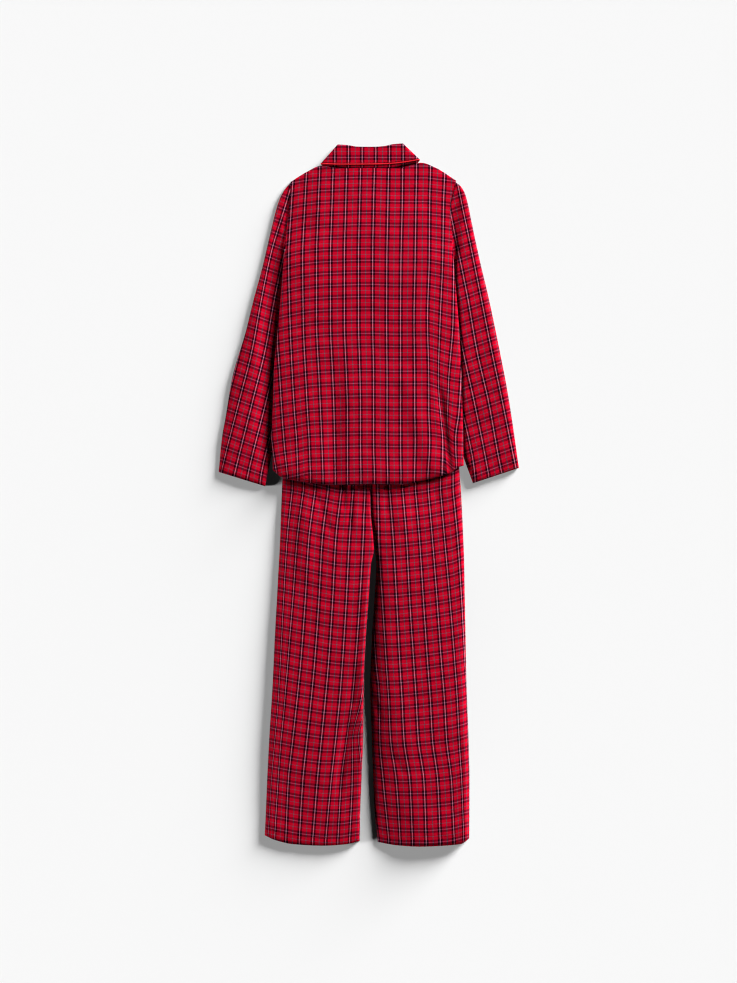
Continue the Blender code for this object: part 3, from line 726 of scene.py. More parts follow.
# The height where the sleeve dips beside the body, the air in it, and how much of that is left at
# the cuff.
SLEEVE_LOW = {"left": 0.0044, "right": 0.0062}
SLEEVE_AIR = {"left": 0.0066, "right": 0.0045}
CUFF_AIR = {"left": 0.6, "right": 1.2}
SLEEVE_CREASES = {
    "left": table(CREASE,
        (-0.212, 0.4, -0.258, 0.08, 0.0, 0.03, 0.0012)),
    "right": table(CREASE,
        (0.2, 0.56, 0.222, 0.22, 0.0, 0.045, 0.002)),
}
SHOULDER_CREASES = {
    "left": table(CREASE,
        (-0.179, 0.712, -0.2130, 0.668, 0.002, 0.0065, -0.0024),
        (-0.185, 0.712, -0.1965, 0.565, 0.000, 0.0090, -0.0026)),
    "right": table(CREASE,
        (0.2262, 0.699, 0.1885, 0.6462, 0.002, 0.0065, -0.0026),
        (0.2160, 0.700, 0.2150, 0.5600, 0.000, 0.0150, 0.0024)),
}
CUFF_DROP = 0.45            # how much the top of the sleeve sinks at its very end
CUFF_REACH = 0.014
SLEEVE_ROUND = {"left": 0.040, "right": 0.014}
INNER_ROUND = 0.014         # how far the free sleeve rounds off at its inner edge
FLAT_ROUND = 0.006          # the same where it is pressed flat
VALLEY = table("y left right",
    (0.057, 0.008, 0.000), (0.149, 0.013, -0.003), (0.299, 0.012, -0.003), (0.379, 0.021, -0.003),
    (0.471, 0.021, -0.003), (0.535, 0.022, 0.000), (0.563, 0.021, 0.004), (0.640, 0.014, 0.004),
    (0.700, 0.002, 0.002))
VALLEY_RISE = {"left": 0.038, "right": 0.009}
ARMHOLE_TUCK = 0.0008       # how far the sleeve's head lies under the back's edge
SLEEVE_WIDTH = 0.125
SLEEVE_LENGTH = 0.66


def around(width, steps, cell):
    """Places round a flattened tube: over the top from the first edge, then back underneath."""
    top = stations(width, steps, steps, cell)
    over = np.column_stack((top, np.ones(len(top))))
    under = np.column_stack((top[::-1], -np.ones(len(top))))[1:]
    return np.concatenate((over, under))


def sleeve_weave(side):
    """Stripes run down the sleeve, and the lines run square to it."""
    rows = SLEEVE_STRIPES[side]

    def weave(x, y):
        beside = -np.abs(x)
        stripe = stripes_at(rows, SLEEVE_NUMBERS, beside, y)
        drooped = y + SLEEVE_LINE_SLOPE * (beside - read(rows, "y", "first", y))
        return stripe, (drooped - SLEEVE_FIRST_LINE[side]) / SLEEVE_LINE_PITCH[side]

    return weave


def across_ring(rings, along, share, step):
    """Plan position of points across a flattened sleeve, and their distance from both its edges."""
    outer_x, outer_y, inner_x, inner_y = [
        read(rings, "along", name, along) for name in ("outer_x", "outer_y", "inner_x", "inner_y")]
    width = np.hypot(inner_x - outer_x, inner_y - outer_y)
    across = share + step / width
    return mix(outer_x, inner_x, across), mix(outer_y, inner_y, across), across * width, (1 - across) * width


def sleeve_place(side):
    rings = SLEEVE_RINGS[side]
    outward = -1 if side == "left" else 1

    def place(column, row):
        share, step, layer = column
        along = row[0]
        x, y, from_outer, from_inner = across_ring(rings, along, share, step)
        head_x, head_y, *_ = across_ring(rings, np.zeros_like(along), share, step)
        tucked = mix(GAP, -ARMHOLE_TUCK, fade(0.600, 0.630, head_y))
        armhole = read(BODY_SIDES, "y", side, head_y) + outward * tucked
        x = x + (armhole - head_x) * fade(0.12, 0.0, along)
        body_edge = np.abs(read(BODY_SIDES, "y", side, y))
        outside = np.abs(x) - body_edge
        below_body = fade(0.075, 0.040, y)
        bank = read(VALLEY, "y", side, y)
        free = np.maximum(fade(0.0, 1.0, (outside - bank) / VALLEY_RISE[side]), below_body)
        free = free * fade(0.0, 0.16, along)
        base = shirt_lift(x, y) * fade(0.085, 0.0, along)
        beside = np.minimum(rounded(from_outer, FLAT_ROUND), rounded(from_inner, FLAT_ROUND))
        foot = SLEEVE_HEIGHT / 2 * (1 - beside)
        foot = foot + WALL * fade(0.24, 0.16, along)
        air = SLEEVE_AIR[side] * mix(1.0, CUFF_AIR[side], fade(0.70, 1.0, along))
        soft = crease_height(SLEEVE_CREASES[side], x, y) + ripple_height(x, y)
        round_edge = np.minimum(rounded(from_outer, mix(FLAT_ROUND, SLEEVE_ROUND[side], free)),
                                rounded(from_inner, mix(FLAT_ROUND, INNER_ROUND, free)))
        flat = mix(SLEEVE_HEIGHT, SLEEVE_LOW[side], fade(-0.012, 0.0, outside) * fade(0.02, 0.10, along))
        full = mix(flat, SLEEVE_HEIGHT + air + soft, free)
        from_cuff = (1 - along) * SLEEVE_LENGTH
        full = full * (1 - CUFF_DROP * (1 - rounded(from_cuff, CUFF_REACH))) + hem_pucker(x, from_cuff)
        full = full + crease_height(SHOULDER_CREASES[side], x, y)
        over = mix(SLEEVE_HEIGHT / 2, full, round_edge)
        return x, y, base + np.where(layer > 0, over, foot)

    return place


SLEEVE_CELL = 0.0032
SLEEVE_AROUND = around(SLEEVE_WIDTH, arc_steps(INNER_ROUND, 7), SLEEVE_CELL)
SLEEVE_ALONG = stations(SLEEVE_LENGTH, [0.0, 0.004], arc_steps(CUFF_REACH, 5) + [HEM_LINE, HEM_LINE + 0.003])
SLEEVE_ALONG[:, 0] = SLEEVE_ALONG[:, 0] + SLEEVE_ALONG[:, 1] / SLEEVE_LENGTH
sleeves = {}
for side, flip in (("left", True), ("right", False)):
    name = "sleeve_" + side + "_cloth"
    mesh = lay(name, SLEEVE_AROUND, SLEEVE_ALONG, sleeve_place(side), sleeve_weave(side), flip, tube=True)
    sleeves[side] = cloth(name, mesh, checked_cotton, "sleeve_" + side,
                          even=False)

# %% [markdown]
# ## The collar
# The collar is a stand sewn to the neck and a fall that turns over it, edged with a red piping. Both
# are strips of doubled cloth that run from one wing, round the neck and back to the other wing. One
# function places a point on such a strip, so the fall, the stand and the piping lie close together.

# %% Tables and places of the collar
COLLAR = table("across back_fold back_edge back_neck front_fold front_edge front_neck",
    (0.00, 0.8060, 0.7631, 0.7580, 0.8060, 0.7631, 0.758),
    (0.15, 0.8045, 0.7615, 0.7560, 0.7900, 0.7250, 0.742),
    (0.30, 0.8010, 0.7613, 0.7512, 0.7740, 0.6880, 0.730),
    (0.45, 0.8005, 0.7615, 0.7510, 0.7620, 0.7250, 0.714),
    (0.55, 0.8005, 0.7618, 0.7510, 0.7620, 0.7250, 0.714),
    (0.70, 0.8020, 0.7630, 0.7512, 0.7740, 0.6880, 0.730),
    (0.85, 0.8065, 0.7665, 0.7590, 0.7900, 0.7250, 0.744),
    (1.00, 0.8085, 0.7723, 0.7650, 0.8085, 0.7723, 0.765))
COLLAR_CENTRE = 0.0035
COLLAR_FOLD_HALF = 0.0755
COLLAR_EDGE_HALF = 0.1134
STAND_TOP = 0.0092
FALL_TOP = 0.0110
FALL_REACH = 0.0060
STAND_REACH = 0.0032
STAND_INSET = 0.0040
PIPING_RADIUS = 0.0015


def collar_point(column, down, lines, inset, low, high, reach):
    """Points of a collar ring; `down` runs from the fold to the lower line."""
    share, step, layer = column
    half = mix(COLLAR_FOLD_HALF, COLLAR_EDGE_HALF, down) - inset
    across = share + step / (2 * half)
    on_back = layer > 0
    fold_y = np.where(on_back, read(COLLAR, "across", "back_fold", across),
                      read(COLLAR, "across", "front_fold", across))
    edge_y = np.where(on_back, read(COLLAR, "across", "back_" + lines, across),
                      read(COLLAR, "across", "front_" + lines, across))
    x = COLLAR_CENTRE + mix(-half, half, across)
    middle, depth = (low + high) / 2, (high - low) / 2
    from_edge = np.minimum(across, 1 - across) * 2 * half
    return x, mix(fold_y, edge_y, down), middle + layer * depth * rounded(from_edge, reach)


def fall_place(column, row):
    return collar_point(column, row[0], "edge", 0.0, 0.0, FALL_TOP, FALL_REACH)


def stand_place(column, row):
    low = mix(0.0018, NECK_RISE, row[0])
    return collar_point(column, row[0], "neck", STAND_INSET, low, STAND_TOP, STAND_REACH)


WING_END = 0.44


def collar_around(reach):
    """Round the neck from the left wing's end, over the back, to the right wing's end."""
    steps = arc_steps(reach, 5)
    wing = np.linspace(WING_END, 0.06, 30)
    left = [(share, 0.0, -1) for share in wing] + [(0.0, step, -1) for step in steps[:0:-1]]
    back = [(0.0, step, 1) for step in steps] + [(share, 0.0, 1) for share in np.linspace(0.05, 0.95, 46)]
    right = [(1.0, -step, 1) for step in steps[::-1]] + [(1.0, -step, -1) for step in steps[1:]]
    right += [(1 - share, 0.0, -1) for share in wing[::-1]]
    return np.array(left + back + right)


COLLAR_STRIPES = table("y first last",
    (0.70, -0.078, 0.079), (0.81, -0.078, 0.079))
COLLAR_FIRST_LINE = 0.7758


def collar_weave(x, y):
    return stripes_at(COLLAR_STRIPES, (0, 5), x, y), (y - COLLAR_FIRST_LINE) / LINE_PITCH


def rows_of(values):
    return np.column_stack((values, np.zeros(len(values))))


FALL_ROWS = rows_of(np.linspace(1.0, 0.0, 13))
STAND_ROWS = rows_of(np.linspace(1.0, 0.05, 11))
fall_mesh = lay("collar_fall_cloth", collar_around(FALL_REACH), FALL_ROWS, fall_place, collar_weave)
cloth("collar_fall_cloth", fall_mesh, checked_cotton, "collar_fall")
stand_mesh = lay("collar_stand_cloth", collar_around(STAND_REACH), STAND_ROWS, stand_place,
                 collar_weave)
cloth("collar_stand_cloth", stand_mesh, checked_cotton, "collar_stand")

# %% [markdown]
# ## The trousers
# Each leg is a back and a front panel. The backs meet at the centre seam, and below the crotch the
# left leg lies over the edge of the right one. Brushed cotton lies full: beside each edge it rises
# steeply, then more gently towards the middle of the leg. Both rises are read from tables by height,
# because a leg that fans out at the hem lies differently there than at the seat.

# %% Tables of the trousers
LEG_EDGES = "y left_outer left_inner right_inner right_outer"
LEGS = table(LEG_EDGES,
    (-0.7986, -0.2402, -0.0208, 0.0204, 0.2313), (-0.7457, -0.2377, -0.0201, 0.0144, 0.2317),
    (-0.6606, -0.2343, -0.0167, 0.0102, 0.2320), (-0.5594, -0.2292, -0.0128, 0.0070, 0.2297),
    (-0.4421, -0.2218, -0.0116, 0.0033, 0.2253), (-0.3317, -0.2168, -0.0066, 0.0070, 0.2230),
    (-0.2305, -0.2110, 0.0008, 0.0137, 0.2211), (-0.1615, -0.2073, 0.0052, 0.0171, 0.2198),
    (-0.1247, -0.2053, 0.0128, 0.0136, 0.2188), (-0.0948, -0.2039, 0.0107, 0.0110, 0.2175),
    (-0.0442, -0.2021, 0.0052, 0.0055, 0.2152), (0.0225, -0.1995, 0.0036, 0.0039, 0.2113),
    (0.1421, -0.1949, 0.0017, 0.0020, 0.2018))
LEG_HEMS = {
    "left": table(HEM,
        (0.00, -0.7838), (0.13, -0.7956), (0.31, -0.8041), (0.62, -0.8073), (0.85, -0.8041), (1.00, -0.7963)),
    "right": table(HEM,
        (0.00, -0.7990), (0.21, -0.8064), (0.45, -0.8091), (0.69, -0.8073), (0.91, -0.8030), (1.00, -0.7905)),
}
WAIST_LOW = 0.1418
LEG_WIDTH = 0.21
LEG_LENGTH = 0.94

LEFT_STRIPES = table("y edge sixth fifth fourth second first seam inner",
    (-0.794, -0.241, -0.232, -0.2170, -0.1910, -0.129, -0.0990, -0.0710, -0.044),
    (-0.656, -0.233, -0.224, -0.2090, -0.1850, -0.118, -0.0860, -0.0630, -0.038),
    (-0.564, -0.229, -0.216, -0.2020, -0.1750, -0.109, -0.0760, -0.0505, -0.037),
    (-0.472, -0.224, -0.208, -0.1935, -0.1650, -0.100, -0.0670, -0.0380, -0.018),
    (-0.380, -0.218, -0.203, -0.1860, -0.1560, -0.092, -0.0600, -0.0300, -0.002),
    (-0.242, -0.212, -0.196, -0.1750, -0.1460, -0.083, -0.0515, -0.0205, 0.010),
    (-0.104, -0.207, -0.188, -0.1650, -0.1380, -0.076, -0.0445, -0.0130, 0.019),
    (0.011, -0.200, -0.176, -0.1505, -0.1235, -0.063, -0.0360, -0.0085, 0.020))
RIGHT_STRIPES = table("y inner before seam first second fourth fifth sixth",
    (-0.794, 0.022, 0.0460, 0.0720, 0.1005, 0.1320, 0.1965, 0.2185, 0.2360),
    (-0.656, 0.004, 0.0330, 0.0630, 0.0940, 0.1265, 0.1900, 0.2135, 0.2340),
    (-0.564, -0.004, 0.0255, 0.0500, 0.0810, 0.1140, 0.1790, 0.2080, 0.2300),
    (-0.472, -0.006, 0.0245, 0.0455, 0.0765, 0.1090, 0.1740, 0.2035, 0.2285),
    (-0.380, -0.024, 0.0165, 0.0395, 0.0710, 0.1030, 0.1665, 0.1975, 0.2215),
    (-0.242, -0.032, 0.0060, 0.0310, 0.0640, 0.0940, 0.1570, 0.1865, 0.2135),
    (-0.104, -0.042, -0.0100, 0.0230, 0.0565, 0.0870, 0.1465, 0.1745, 0.2045),
    (0.011, -0.040, -0.0100, 0.0210, 0.0480, 0.0780, 0.1370, 0.1650, 0.1940))
LEG_LINES = {
    "left": table(LINE,
        (-0.7512, 26), (-0.6382, 22), (-0.5272, 18), (-0.4179, 14), (-0.3051, 10), (-0.1912, 6),
        (-0.0762, 2), (-0.0202, 0)),
    "right": table(LINE,
        (-0.7702, 27), (-0.6582, 23), (-0.5472, 19), (-0.4322, 15), (-0.3172, 11), (-0.2027, 7),
        (-0.0877, 3), (0.0004, 0)),
}
LEFT_DROOP = table(DROOP,
    (-0.240, -0.0400, -0.0360, -0.0160), (-0.200, -0.0310, -0.0280, -0.0080),
    (-0.158, -0.0235, -0.0185, -0.0005), (-0.131, -0.0160, -0.0135, 0.0028),
    (-0.101, -0.0088, -0.0070, 0.0055), (-0.066, -0.0010, -0.0025, 0.0050), (-0.032, 0.0000, 0.0000, 0.0000),
    (-0.011, 0.0010, -0.0030, -0.0020), (0.010, 0.0020, -0.0060, -0.0040))
RIGHT_DROOP = table(DROOP,
    (0.000, -0.0020, -0.0040, -0.0090), (0.017, 0.0000, -0.0020, -0.0060), (0.035, 0.0010, 0.0003, -0.0030),
    (0.060, 0.0000, 0.0000, 0.0000), (0.095, -0.0033, -0.0030, 0.0010), (0.130, -0.0075, -0.0068, 0.0010),
    (0.164, -0.0145, -0.0115, -0.0010), (0.191, -0.0205, -0.0158, -0.0040),
    (0.214, -0.0300, -0.0212, -0.0095), (0.232, -0.0360, -0.0270, -0.0130))


STRIPES = {"left": LEFT_STRIPES, "right": RIGHT_STRIPES}
STRIPE_NUMBERS = {"left": (-6.9, -6, -5, -4, -2, -1, 0, 1), "right": (-2, -1, 0, 1, 2, 4, 5, 6)}
DROOPS = {"left": LEFT_DROOP, "right": RIGHT_DROOP}
DROOP_HEIGHTS = {"left": (-0.02, -0.32, -0.66), "right": (-0.02, -0.42, -0.80)}


def leg_weave(side):
    def weave(x, y):
        drooped = y + droop(DROOPS[side], x, y, *DROOP_HEIGHTS[side])
        return stripes_at(STRIPES[side], STRIPE_NUMBERS[side], x, y), -line_number(LEG_LINES[side], drooped)

    return weave


print("the legs are read from", len(LEGS), "heights")

# %% The legs
LEG_LOFT = table("y left right",
    (-0.81, 0.0078, 0.0150), (-0.70, 0.0105, 0.0172), (-0.55, 0.0140, 0.0168), (-0.36, 0.0155, 0.0160),
    (-0.20, 0.0140, 0.0145), (-0.08, 0.0110, 0.0110), (-0.01, 0.0060, 0.0060), (0.03, 0.0045, 0.0045),
    (0.08, 0.0000, 0.0000), (0.15, 0.0000, 0.0000))
# Beside each edge the cloth rises steeply within a few millimetres, then gently over its reach.
STEEP_REACHES = table(LEG_EDGES,
    (-0.80, 0.009, 0.005, 0.006, 0.012), (-0.50, 0.009, 0.004, 0.016, 0.012),
    (-0.20, 0.009, 0.004, 0.016, 0.012), (-0.11, 0.009, 0.004, 0.013, 0.012),
    (0.05, 0.009, 0.004, 0.011, 0.012))
GENTLE_REACHES = table(LEG_EDGES,
    (-0.80, 0.15, 0.045, 0.13, 0.06), (-0.62, 0.15, 0.045, 0.10, 0.06), (-0.30, 0.15, 0.045, 0.05, 0.06),
    (0.05, 0.15, 0.045, 0.05, 0.06))
GENTLE_SHARES = table(LEG_EDGES,
    (-0.80, 0.38, 0.20, 0.84, 0.20), (-0.62, 0.36, 0.12, 0.74, 0.15), (-0.45, 0.42, 0.08, 0.62, 0.15),
    (-0.30, 0.50, 0.08, 0.52, 0.15), (-0.12, 0.54, 0.08, 0.22, 0.12), (0.05, 0.30, 0.05, 0.05, 0.10))
LEFT_CREASES = table(CREASE,
    (-0.142, 0.080, -0.150, -0.200, 0.000, 0.0320, 0.0052),
    (0.000, -0.130, -0.020, -0.740, 0.000, 0.0340, 0.0032),
    (0.001, -0.150, -0.017, -0.720, 0.000, 0.0180, 0.0024),
    (-0.030, 0.060, -0.034, -0.080, 0.000, 0.0260, 0.0036),
    (-0.128, 0.022, -0.084, -0.095, 0.000, 0.0110, -0.0020),
    (-0.033, 0.040, -0.043, -0.080, 0.000, 0.0095, -0.0046),
    (-0.050, 0.036, -0.058, -0.035, 0.000, 0.0090, -0.0034),
    (-0.027, -0.391, -0.037, -0.493, 0.003, 0.0130, -0.0034),
    (-0.037, -0.493, -0.070, -0.695, 0.004, 0.0190, -0.0042))
RIGHT_CREASES = table(CREASE,
    (0.0720, 0.060, 0.078, -0.090, 0.0, 0.030, 0.0036),
    (0.0460, 0.030, 0.040, -0.045, 0.0, 0.010, -0.0030),
    (0.1500, 0.040, 0.158, -0.020, 0.0, 0.022, -0.0025),
    (0.0075, -0.458, 0.030, -0.525, 0.0, 0.009, -0.0022),
    (0.0510, -0.594, 0.083, -0.645, 0.0, 0.014, -0.0026),
    (0.2100, -0.560, 0.217, -0.660, 0.0, 0.008, -0.0016))
CREASES = {"left": LEFT_CREASES, "right": RIGHT_CREASES}
LEG_HEM_DROP = 0.40         # how much a leg sinks at its very end
LEG_EDGE_REACH = 0.018      # how far in from an edge the grid is finer
FRONT_LEG_CELL = 0.0065


def leg_place(side, column, row):
    """Plan position of points of a leg, and their distance from each edge."""
    share, inset = column
    height_share, rise = row
    low = read(LEG_HEMS[side], "across", "y", share + inset / LEG_WIDTH)
    y = mix(low, WAIST_LOW - GAP, height_share) + rise
    names = ("left_outer", "left_inner") if side == "left" else ("right_inner", "right_outer")
    left, right = [read(LEGS, "y", name, y) for name in names]
    x = mix(left, right, share) + inset
    outer, inner = (x - left, right - x) if side == "left" else (right - x, x - left)
    return x, y, outer, inner, y - low


def bank_height(edge, distance, y):
    """Height share beside a named edge of a leg."""
    steep = rounded(distance, read(STEEP_REACHES, "y", edge, y))
    gentle = fade(-1.0, 1.0, distance / read(GENTLE_REACHES, "y", edge, y)) * 2 - 1
    return mix(steep, gentle, read(GENTLE_SHARES, "y", edge, y))


def leg_back_place(side):
    def place(column, row):
        x, y, from_outer, from_inner, from_hem = leg_place(side, column, row)
        parted = mix(0.90, 1.0, fade(-0.060, -0.110, y))
        outer_share = bank_height(side + "_outer", from_outer, y)
        inner_share = 1 - parted * (1 - bank_height(side + "_inner", from_inner, y))
        opened = outer_share * inner_share * (1 - LEG_HEM_DROP * (1 - rounded(from_hem, HEM_REACH)))
        folds = crease_height(CREASES[side], x, y) + ripple_height(x, y)
        folds = np.where(folds > 0, folds * fade(0.034, -0.060, y), folds)
        soft = folds * fade(0.0, 0.02, from_outer) * fade(0.0, 0.006, from_inner) * fade(0.050, 0.030, y)
        soft = soft + hem_pucker(x, from_hem)
        loft = read(LEG_LOFT, "y", side, y)
        return x, y, mix(WALL + GAP + SEAM_RISE, CLOTH_HEIGHT + loft + soft, opened)

    return place


def leg_front_place(side):
    def place(column, row):
        x, y, *_ = leg_place(side, column, row)
        return x, y, np.zeros_like(x)

    return place


LEG_COLUMNS = stations(LEG_WIDTH, arc_steps(LEG_EDGE_REACH, 8), arc_steps(LEG_EDGE_REACH, 8))
LEG_ROWS = stations(LEG_LENGTH, HEM_STEPS, [0.0, 0.004])
FRONT_LEG_COLUMNS = stations(LEG_WIDTH, [0.0, 0.006], [0.0, 0.006], FRONT_LEG_CELL)
FRONT_LEG_ROWS = stations(LEG_LENGTH, [0.0, 0.006], [0.0, 0.004], FRONT_LEG_CELL)
for side in ("left", "right"):
    name = "trouser_back_" + side + "_cloth"
    mesh = lay(name, LEG_COLUMNS, LEG_ROWS, leg_back_place(side), leg_weave(side))
    cloth(name, mesh, checked_cotton, "trouser_back_" + side)
    name = "trouser_front_" + side + "_cloth"
    mesh = lay(name, FRONT_LEG_COLUMNS, FRONT_LEG_ROWS, leg_front_place(side), plain_weave, flip=True)
    cloth(name, mesh, checked_cotton, "trouser_front_" + side)

# %% [markdown]
# ## The waistband
# An elastic runs in a casing of the same cloth and gathers it, so the band is shorter than the cloth
# it is cut from and its faces are full of small pleats. It is a flattened ring, like a sleeve.

# %% The waistband
WAIST_HIGH = 0.1766
WAIST_LEFT = -0.1880
WAIST_RIGHT = 0.1938
WAIST_HEIGHT = 0.0070
WAIST_REACH = 0.0034
PLEAT_DEPTH = 0.0006
PLEAT_PITCH = 0.0085


def pleats(x):
    """Uneven gathers of the elastic."""
    turn = 2 * math.pi / PLEAT_PITCH
    return np.sin(turn * x + 1.9 * np.sin(23 * x) + 1.1 * np.sin(61 * x))


def waist_place(column, row):
    share, step, layer = column
    y = mix(WAIST_LOW, WAIST_HIGH, row[0])
    x = mix(WAIST_LEFT, WAIST_RIGHT, share) + step
    from_edge = np.minimum(x - WAIST_LEFT, WAIST_RIGHT - x)
    drawn = PLEAT_DEPTH * pleats(x) * fade(0.0, 0.012, from_edge) * np.sin(math.pi * row[0]) ** 0.5
    half = WAIST_HEIGHT / 2
    return x, y, half + layer * (half - PLEAT_DEPTH) * rounded(from_edge, WAIST_REACH) + drawn


def waist_weave(x, y):
    return x / (STRIPE_PITCH * 0.8), y / LINE_PITCH


WAIST_AROUND = around(WAIST_RIGHT - WAIST_LEFT, arc_steps(WAIST_REACH, 5), PLEAT_PITCH / 5)
WAIST_ALONG = rows_of(np.linspace(0.0, 1.0, 11))
waist_mesh = lay("waistband_cloth", WAIST_AROUND, WAIST_ALONG, waist_place, waist_weave, tube=True)
cloth("waistband_cloth", waist_mesh, checked_cotton, "waistband",
      even=False)

# %% [markdown]
# ## Bright red cotton and satin red resin
# The piping is a bias strip of plain cotton folded over a cord, so its ribs run aslant. The sewing
# thread is the same red, and the buttons are moulded resin with a soft gloss. One function makes both
# cottons, with the same nap group as the check, so that they look like one wardrobe.

# %% Finishes of the piping, the thread and the buttons
RIB_HOLLOW_SHADE = 0.72             # painted shade: how much of the colour is left in the hollow between two ribs
RIB_SLANT = 0.8


def plain_cotton(name, colour, rib_pitch):
    """Plain cotton: slanting ribs with painted shade in their hollows, on the object's own axes, under the
    check's nap.
    """
    finish, tree, shader = new_finish(name, {
        "Roughness": 0.75, "Specular IOR Level": 0.15, "Sheen Weight": 0.05, "Sheen Roughness": 0.40})
    axes = put(tree, "ShaderNodeSeparateXYZ", put(tree, "ShaderNodeTexCoord").outputs["Object"])
    aslant = maths(tree, "ADD", axes.outputs[0], maths(tree, "MULTIPLY", axes.outputs[1], RIB_SLANT))
    rib = ridges(tree, aslant, 2 * math.pi / rib_pitch)
    # painted shade: the hollow between two ribs gets a darker copy of the colour
    dark = (*[part * RIB_HOLLOW_SHADE for part in colour[:3]], 1.0)
    brushed = use_group(tree, nap, {"Colour": blend_colours(tree, rib, dark, colour), "Amount": 0.8})
    feed(tree, shader.inputs["Base Color"], brushed.outputs["Colour"])
    woven_relief(tree, shader, rib, 0.6, 0.0001)
    return finish


red_piping = plain_cotton("red_piping", linear(246, 28, 46), 0.0011)
red_thread = plain_cotton("red_thread", linear(196, 16, 44), 0.0005)

red_button, tree, shader = new_finish("red_button", {})
place = put(tree, "ShaderNodeTexCoord").outputs["Object"]
clouds = put(tree, "ShaderNodeTexNoise", place, None, 260.0, 2.0)
swirl = blend_colours(tree, clouds.outputs["Fac"], linear(150, 18, 30), linear(206, 40, 52))
feed(tree, shader.inputs["Base Color"], swirl)
rubbed = put(tree, "ShaderNodeTexNoise", place, None, 900.0, 3.0)
satin = maths(tree, "MULTIPLY_ADD", rubbed.outputs["Fac"], 0.18, 0.24)
feed(tree, shader.inputs["Roughness"], satin)
print("finishes:", [finish.name for finish in bpy.data.materials])

# %% The piping, a tube along the collar's edge
PIPING_PAST = 0.0012        # how far the piping's centre lies past the cloth's edge


def tube_mesh(name, route, radius):
    """A round cord along a route, as a closed mesh."""
    line = bpy.data.curves.new(name, "CURVE")
    line.dimensions = "3D"
    line.bevel_depth = radius
    line.bevel_resolution = 3
    line.use_fill_caps = True
    spline = line.splines.new("POLY")
    spline.points.add(len(route) - 1)
    spline.points.foreach_set("co", np.column_stack((route, np.ones(len(route)))).ravel())
    guide = bpy.data.objects.new(name, line)
    bpy.context.scene.collection.objects.link(guide)
    mesh = bpy.data.meshes.new_from_object(guide.evaluated_get(bpy.context.evaluated_depsgraph_get()))
    bpy.data.objects.remove(guide)
    bpy.data.curves.remove(line)
    shape = bmesh.new()
    shape.from_mesh(mesh)
    bmesh.ops.remove_doubles(shape, verts=shape.verts, dist=0.00002)
    bmesh.ops.recalc_face_normals(shape, faces=shape.faces)
    shape.to_mesh(mesh)
    shape.free()
    mesh.shade_smooth()
    return mesh


def trim(name, mesh, finish, slot, *nodes):
    """A small piece that is not a sheet."""
    mesh.materials.clear()
    mesh.materials.append(finish)
    piece = bpy.data.objects.new(name, mesh)
    bpy.context.scene.collection.objects.link(piece)
    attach(piece, "root")
    if nodes:
        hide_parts(*nodes)
    print(name, "has", len(mesh.polygons), "faces")


stations_round = collar_around(FALL_REACH).T
piping_x, piping_y, piping_z = collar_point(stations_round, 1.0, "edge", WALL / 2, PIPING_RADIUS,
                                            FALL_TOP - WALL / 2, FALL_REACH)
piping_route = np.stack((piping_x, piping_y - PIPING_PAST, piping_z), axis=1)
trim("collar_piping_cord", tube_mesh("collar_piping_cord", piping_route, PIPING_RADIUS),
     red_piping, "red_piping", "collar_piping")

# %% The buttons
BUTTON_FIRST = 0.575
BUTTON_STEP = 0.085
BUTTON_COUNT = 4
HOLE_RADIUS = 0.0009
HOLE_OUT = 0.0017
# Radius and height of the profile, from the middle of the back round the rim to the dished face.
BUTTON_PROFILE = (
    (0.0, 0.0022), (0.0046, 0.0022), (0.0058, 0.0019), (0.0065, 0.0013), (0.0065, 0.0007),
    (0.0061, 0.0002), (0.0054, 0.0), (0.0047, 0.0002), (0.0042, 0.0007), (0.0, 0.0009),
)


def button_mesh(name, y):
    """A turned disc with a raised rim and four thread holes, its face down."""
    shape = bmesh.new()
    points = [shape.verts.new((radius, y, height)) for radius, height in BUTTON_PROFILE]
    edges = [shape.edges.new(pair) for pair in zip(points, points[1:])]
    bmesh.ops.spin(shape, geom=points + edges, cent=(0, y, 0), axis=(0, 0, 1), angle=2 * math.pi,
                   steps=40, use_merge=True)
    bmesh.ops.remove_doubles(shape, verts=shape.verts, dist=0.00002)
    bmesh.ops.recalc_face_normals(shape, faces=shape.faces)
    body = bpy.data.meshes.new(name)
    shape.to_mesh(body)
    shape.free()
    shape = bmesh.new()
    for turn in range(4):
        angle = math.pi / 4 + turn * math.pi / 2
        place = Matrix.Translation((HOLE_OUT * math.cos(angle), y + HOLE_OUT * math.sin(angle), 0.001))
        bmesh.ops.create_cone(shape, cap_ends=True, segments=16, radius1=HOLE_RADIUS, radius2=HOLE_RADIUS,
                              depth=0.006, matrix=place)
    holes = bpy.data.meshes.new(name + "_holes")
    shape.to_mesh(holes)
    shape.free()
    drilled = bpy.data.objects.new(name, body)
    drill = bpy.data.objects.new(name + "_holes", holes)
    bpy.context.scene.collection.objects.link(drilled)
    bpy.context.scene.collection.objects.link(drill)
    cut = drilled.modifiers.new("Holes", "BOOLEAN")
    cut.object = drill
    mesh = bpy.data.meshes.new_from_object(drilled.evaluated_get(bpy.context.evaluated_depsgraph_get()))
    bpy.data.objects.remove(drilled)
    bpy.data.objects.remove(drill)
    mesh.shade_smooth()
    mesh.set_sharp_from_angle(angle=math.radians(40))
    return mesh


for number in range(BUTTON_COUNT):
    name = "button_" + str(number + 1)
    mesh = button_mesh(name + "_resin", BUTTON_FIRST - BUTTON_STEP * number)
    trim(name + "_resin", mesh, red_button, "red_button", name)

# %% [markdown]
# ## Stitches
# Every hem is turned up and sewn with one row of red thread. A stitch is a small capsule between two
# points of the row, half sunk in the cloth, and all of a panel's stitches are one mesh.

# %% The stitches
STITCH = 0.0026
STITCH_SPACE = 0.0009
THREAD_RADIUS = 0.00026
STITCH_END = 0.7            # how thick a stitch is at its ends, as a share of its thread
STITCH_SWELL = 1.4          # how much thicker it is in the middle


